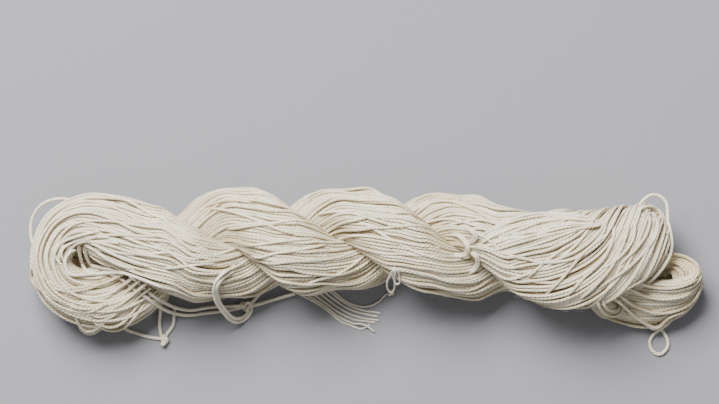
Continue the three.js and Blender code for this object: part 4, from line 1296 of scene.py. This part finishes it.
class HANK_OT_stage(bpy.types.Operator):
    """Sets the camera at the photograph's angle, a plain floor and soft studio light"""

    bl_idname = "hank.stage"
    bl_label = "Stage"

    def execute(self, context):
        tilt = math.radians(CAMERA_TILT)
        camera = linked("camera", bpy.data.cameras.new("camera"))
        camera.data.sensor_width = SENSOR_WIDTH
        camera.data.lens = SENSOR_WIDTH * CAMERA_DISTANCE / (PHOTO_WIDTH_PX * PHOTO_MM_PER_PX * MM)
        back = Vector((0, -math.sin(tilt), math.cos(tilt)))
        camera.location = Vector(CAMERA_TARGET) + back * CAMERA_DISTANCE
        camera.rotation_euler = (tilt, 0, 0)
        context.scene.camera = camera

        mesh = bpy.data.meshes.new("floor")
        corners = [(-1, -1), (1, -1), (1, 1), (-1, 1)]
        mesh.from_pydata([(x * FLOOR_REACH, y * FLOOR_REACH, 0) for x, y in corners], [], [(0, 1, 2, 3)])
        mesh.materials.append(matt_paper())
        linked("floor", mesh)

        for name, place, size, power in LIGHTS:
            light = linked(name, bpy.data.lights.new(name, "AREA"))
            light.data.shape = "SQUARE"
            light.data.size = size
            light.data.energy = power
            light.location = place
            light.rotation_euler = (-Vector(place)).to_track_quat("-Z", "Y").to_euler()
        world = bpy.data.worlds.new("studio")
        world.use_nodes = True
        background = world.node_tree.nodes["Background"]
        background.inputs["Color"].default_value = SKY_COLOUR
        background.inputs["Strength"].default_value = SKY_STRENGTH
        context.scene.world = world
        return {"FINISHED"}


class HANK_OT_cut_ends(bpy.types.Operator):
    """Makes the cut ends of thinner yarn that lie free on the table"""

    bl_idname = "hank.cut_ends"
    bl_label = "Cut ends"

    def execute(self, context):
        diameter = context.scene.hank_yarn.single_diameter
        for number, rows in enumerate(CUT_ENDS, 1):
            path = laid_on_table(rows, diameter / MM)
            name = f"cut_end_{number}"
            piece = yarn_piece(name + "_yarn", [path], diameter / MM / 2, 10, thin_linen(), seed=number)
            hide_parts(name)
        return {"FINISHED"}


class HANK_OT_plies(bpy.types.Operator):
    """Winds the strands of both plies, the fold and the fan"""

    bl_idname = "hank.plies"
    bl_label = "Plies"

    def execute(self, context):
        yarn = context.scene.hank_yarn
        bundle = rope_bundle(RING_STEP)
        outer, outs = layer(bundle, yarn.outer_strands, OUTER_SEED)
        half = len(outer) // 2
        for name, some in (("ply_yarn_1", slice(half)), ("ply_yarn_2", slice(half, None))):
            hank_yarn(name, (outer[some], outs[some]), 7, plied_linen(), seed=21)
        over = crossing(bundle, yarn.crossing_strands, seed=15)
        hank_yarn("crossing_yarn", over, 8, plied_linen(), seed=26)
        # The layer below takes the darker linen, as painted shade.
        inner = layer(rope_bundle(INNER_STEP), yarn.inner_strands, seed=12, depth=LAYER_DEPTH)
        hank_yarn("inner_yarn", inner, 6, inner_linen_painted_shade(), seed=22)
        return {"FINISHED"}


class HANK_OT_core(bpy.types.Operator):
    """Fills the bundles behind their strands"""

    bl_idname = "hank.core"
    bl_label = "Core"

    def execute(self, context):
        bundle_skin("rope_core", rope_bundle(CORE_STEP))
        bundle_skin("loop_core", loop_bundle(CORE_STEP))
        return {"FINISHED"}


class HANK_OT_end_loop(bpy.types.Operator):
    """Winds the strands of the end loop at the right"""

    bl_idname = "hank.end_loop"
    bl_label = "End loop"

    def execute(self, context):
        count = context.scene.hank_yarn.loop_strands
        bundle = loop_bundle(RING_STEP)
        hank_yarn("end_loop_yarn", layer(bundle, count, seed=13), 8, plied_linen(), seed=23)
        # The end loop's second layer takes the darker linen, as painted shade.
        inner = layer(bundle, count // 2, seed=14, depth=LAYER_DEPTH)
        hank_yarn("end_loop_inner_yarn", inner, 6, inner_linen_painted_shade(), seed=25)
        return {"FINISHED"}


class HANK_OT_loose_turns(bpy.types.Operator):
    """Lays the single turns of yarn that stand off the bundle, lie over it or show deep in it"""

    bl_idname = "hank.loose_turns"
    bl_label = "Loose turns"

    def execute(self, context):
        rng = np.random.default_rng(TURNS_SEED)
        hank_yarn("loose_yarn", (bunched_turns(rng), None), 10, plied_linen(), seed=24)
        skins = skins_of(["ply_yarn_1", "ply_yarn_2", "end_loop_yarn"])
        spread = [path + (0, rng.normal(0, SPREAD_SHIFT)) for path in with_halfway(SPREAD_TURNS)]
        nested = [path + (0, rng.normal(0, NESTED_SHIFT)) for path in with_halfway(LOOP_TURNS)]
        laid = [laid_turn(rows, skins) for rows in [*LAID_TURNS, *spread]]
        deep = [laid_turn(rows, skins) for rows in nested]
        for path in [*laid[len(LAID_TURNS) :], *deep]:
            slacken(rng, path)
        hank_yarn("laid_yarn", (laid, [faced(path) for path in laid]), 10, plied_linen(), seed=27)
        for path, shift, count in DEEP_TURNS:
            path = spaced(np.array(path, float), TURN_STEP)
            deep += [path + np.array(shift) * k + rng.normal(0, DEEP_SHIFT, 3) for k in range(count)]
        # The turns deep in the eye and the end loop, and those nested in it, take the darker linen, as
        # painted shade.
        hank_yarn("deep_yarn", (deep, None), 8, inner_linen_painted_shade(), seed=28)
        return {"FINISHED"}


class HANK_OT_ties(bpy.types.Operator):
    """Lays the yarn ties over the hank and draws their knots tight"""

    bl_idname = "hank.ties"
    bl_label = "Ties"

    def execute(self, context):
        skins = skins_of(["ply_yarn_1", "ply_yarn_2", "crossing_yarn"])
        for seed, (name, tie) in enumerate(TIES.items(), 31):
            tie_piece(name, tie, skins, seed)
        return {"FINISHED"}


class HANK_OT_fuzz(bpy.types.Operator):
    """Lifts loose fibres off the yarn"""

    bl_idname = "hank.fuzz"
    bl_label = "Fuzz"

    def execute(self, context):
        yarn = context.scene.hank_yarn
        bundle = rope_bundle(RING_STEP)
        outer, _ = layer(bundle, yarn.outer_strands, OUTER_SEED)
        hairs = hair_paths(bundle, outer, yarn.fuzz_hairs, seed=41)
        stands_for_hank(yarn_piece("fuzz", hairs, HAIR_RADIUS, 3, thin_linen(), seed=42, slub=0))
        return {"FINISHED"}


class HANK_PT_panel(bpy.types.Panel):
    """Lists the hank's settings and its pieces in the order in which they are made"""

    bl_idname = "HANK_PT_panel"
    bl_label = "Linen hank"
    bl_space_type = "VIEW_3D"
    bl_region_type = "UI"
    bl_category = "Hank"

    def draw(self, context):
        for group in (context.scene.hank_yarn, context.scene.hank_colours):
            for name in group.bl_rna.properties.keys():
                if name not in ("rna_type", "name"):
                    self.layout.prop(group, name)
        for operator in PIECES:
            self.layout.operator(operator.bl_idname)


PIECES = (
    HANK_OT_stage,
    HANK_OT_cut_ends,
    HANK_OT_plies,
    HANK_OT_core,
    HANK_OT_end_loop,
    HANK_OT_loose_turns,
    HANK_OT_ties,
    HANK_OT_fuzz,
)
CLASSES = (YarnSettings, ColourSettings, *PIECES, HANK_PT_panel)


def register():
    for registered in CLASSES:
        bpy.utils.register_class(registered)
    bpy.types.Scene.hank_yarn = bpy.props.PointerProperty(type=YarnSettings)
    bpy.types.Scene.hank_colours = bpy.props.PointerProperty(type=ColourSettings)


def unregister():
    del bpy.types.Scene.hank_colours
    del bpy.types.Scene.hank_yarn
    for registered in reversed(CLASSES):
        bpy.utils.unregister_class(registered)


def main():
    register()
    for operator in PIECES:
        group, name = operator.bl_idname.split(".")
        getattr(getattr(bpy.ops, group), name)()


if __name__ == "__main__":
    main()
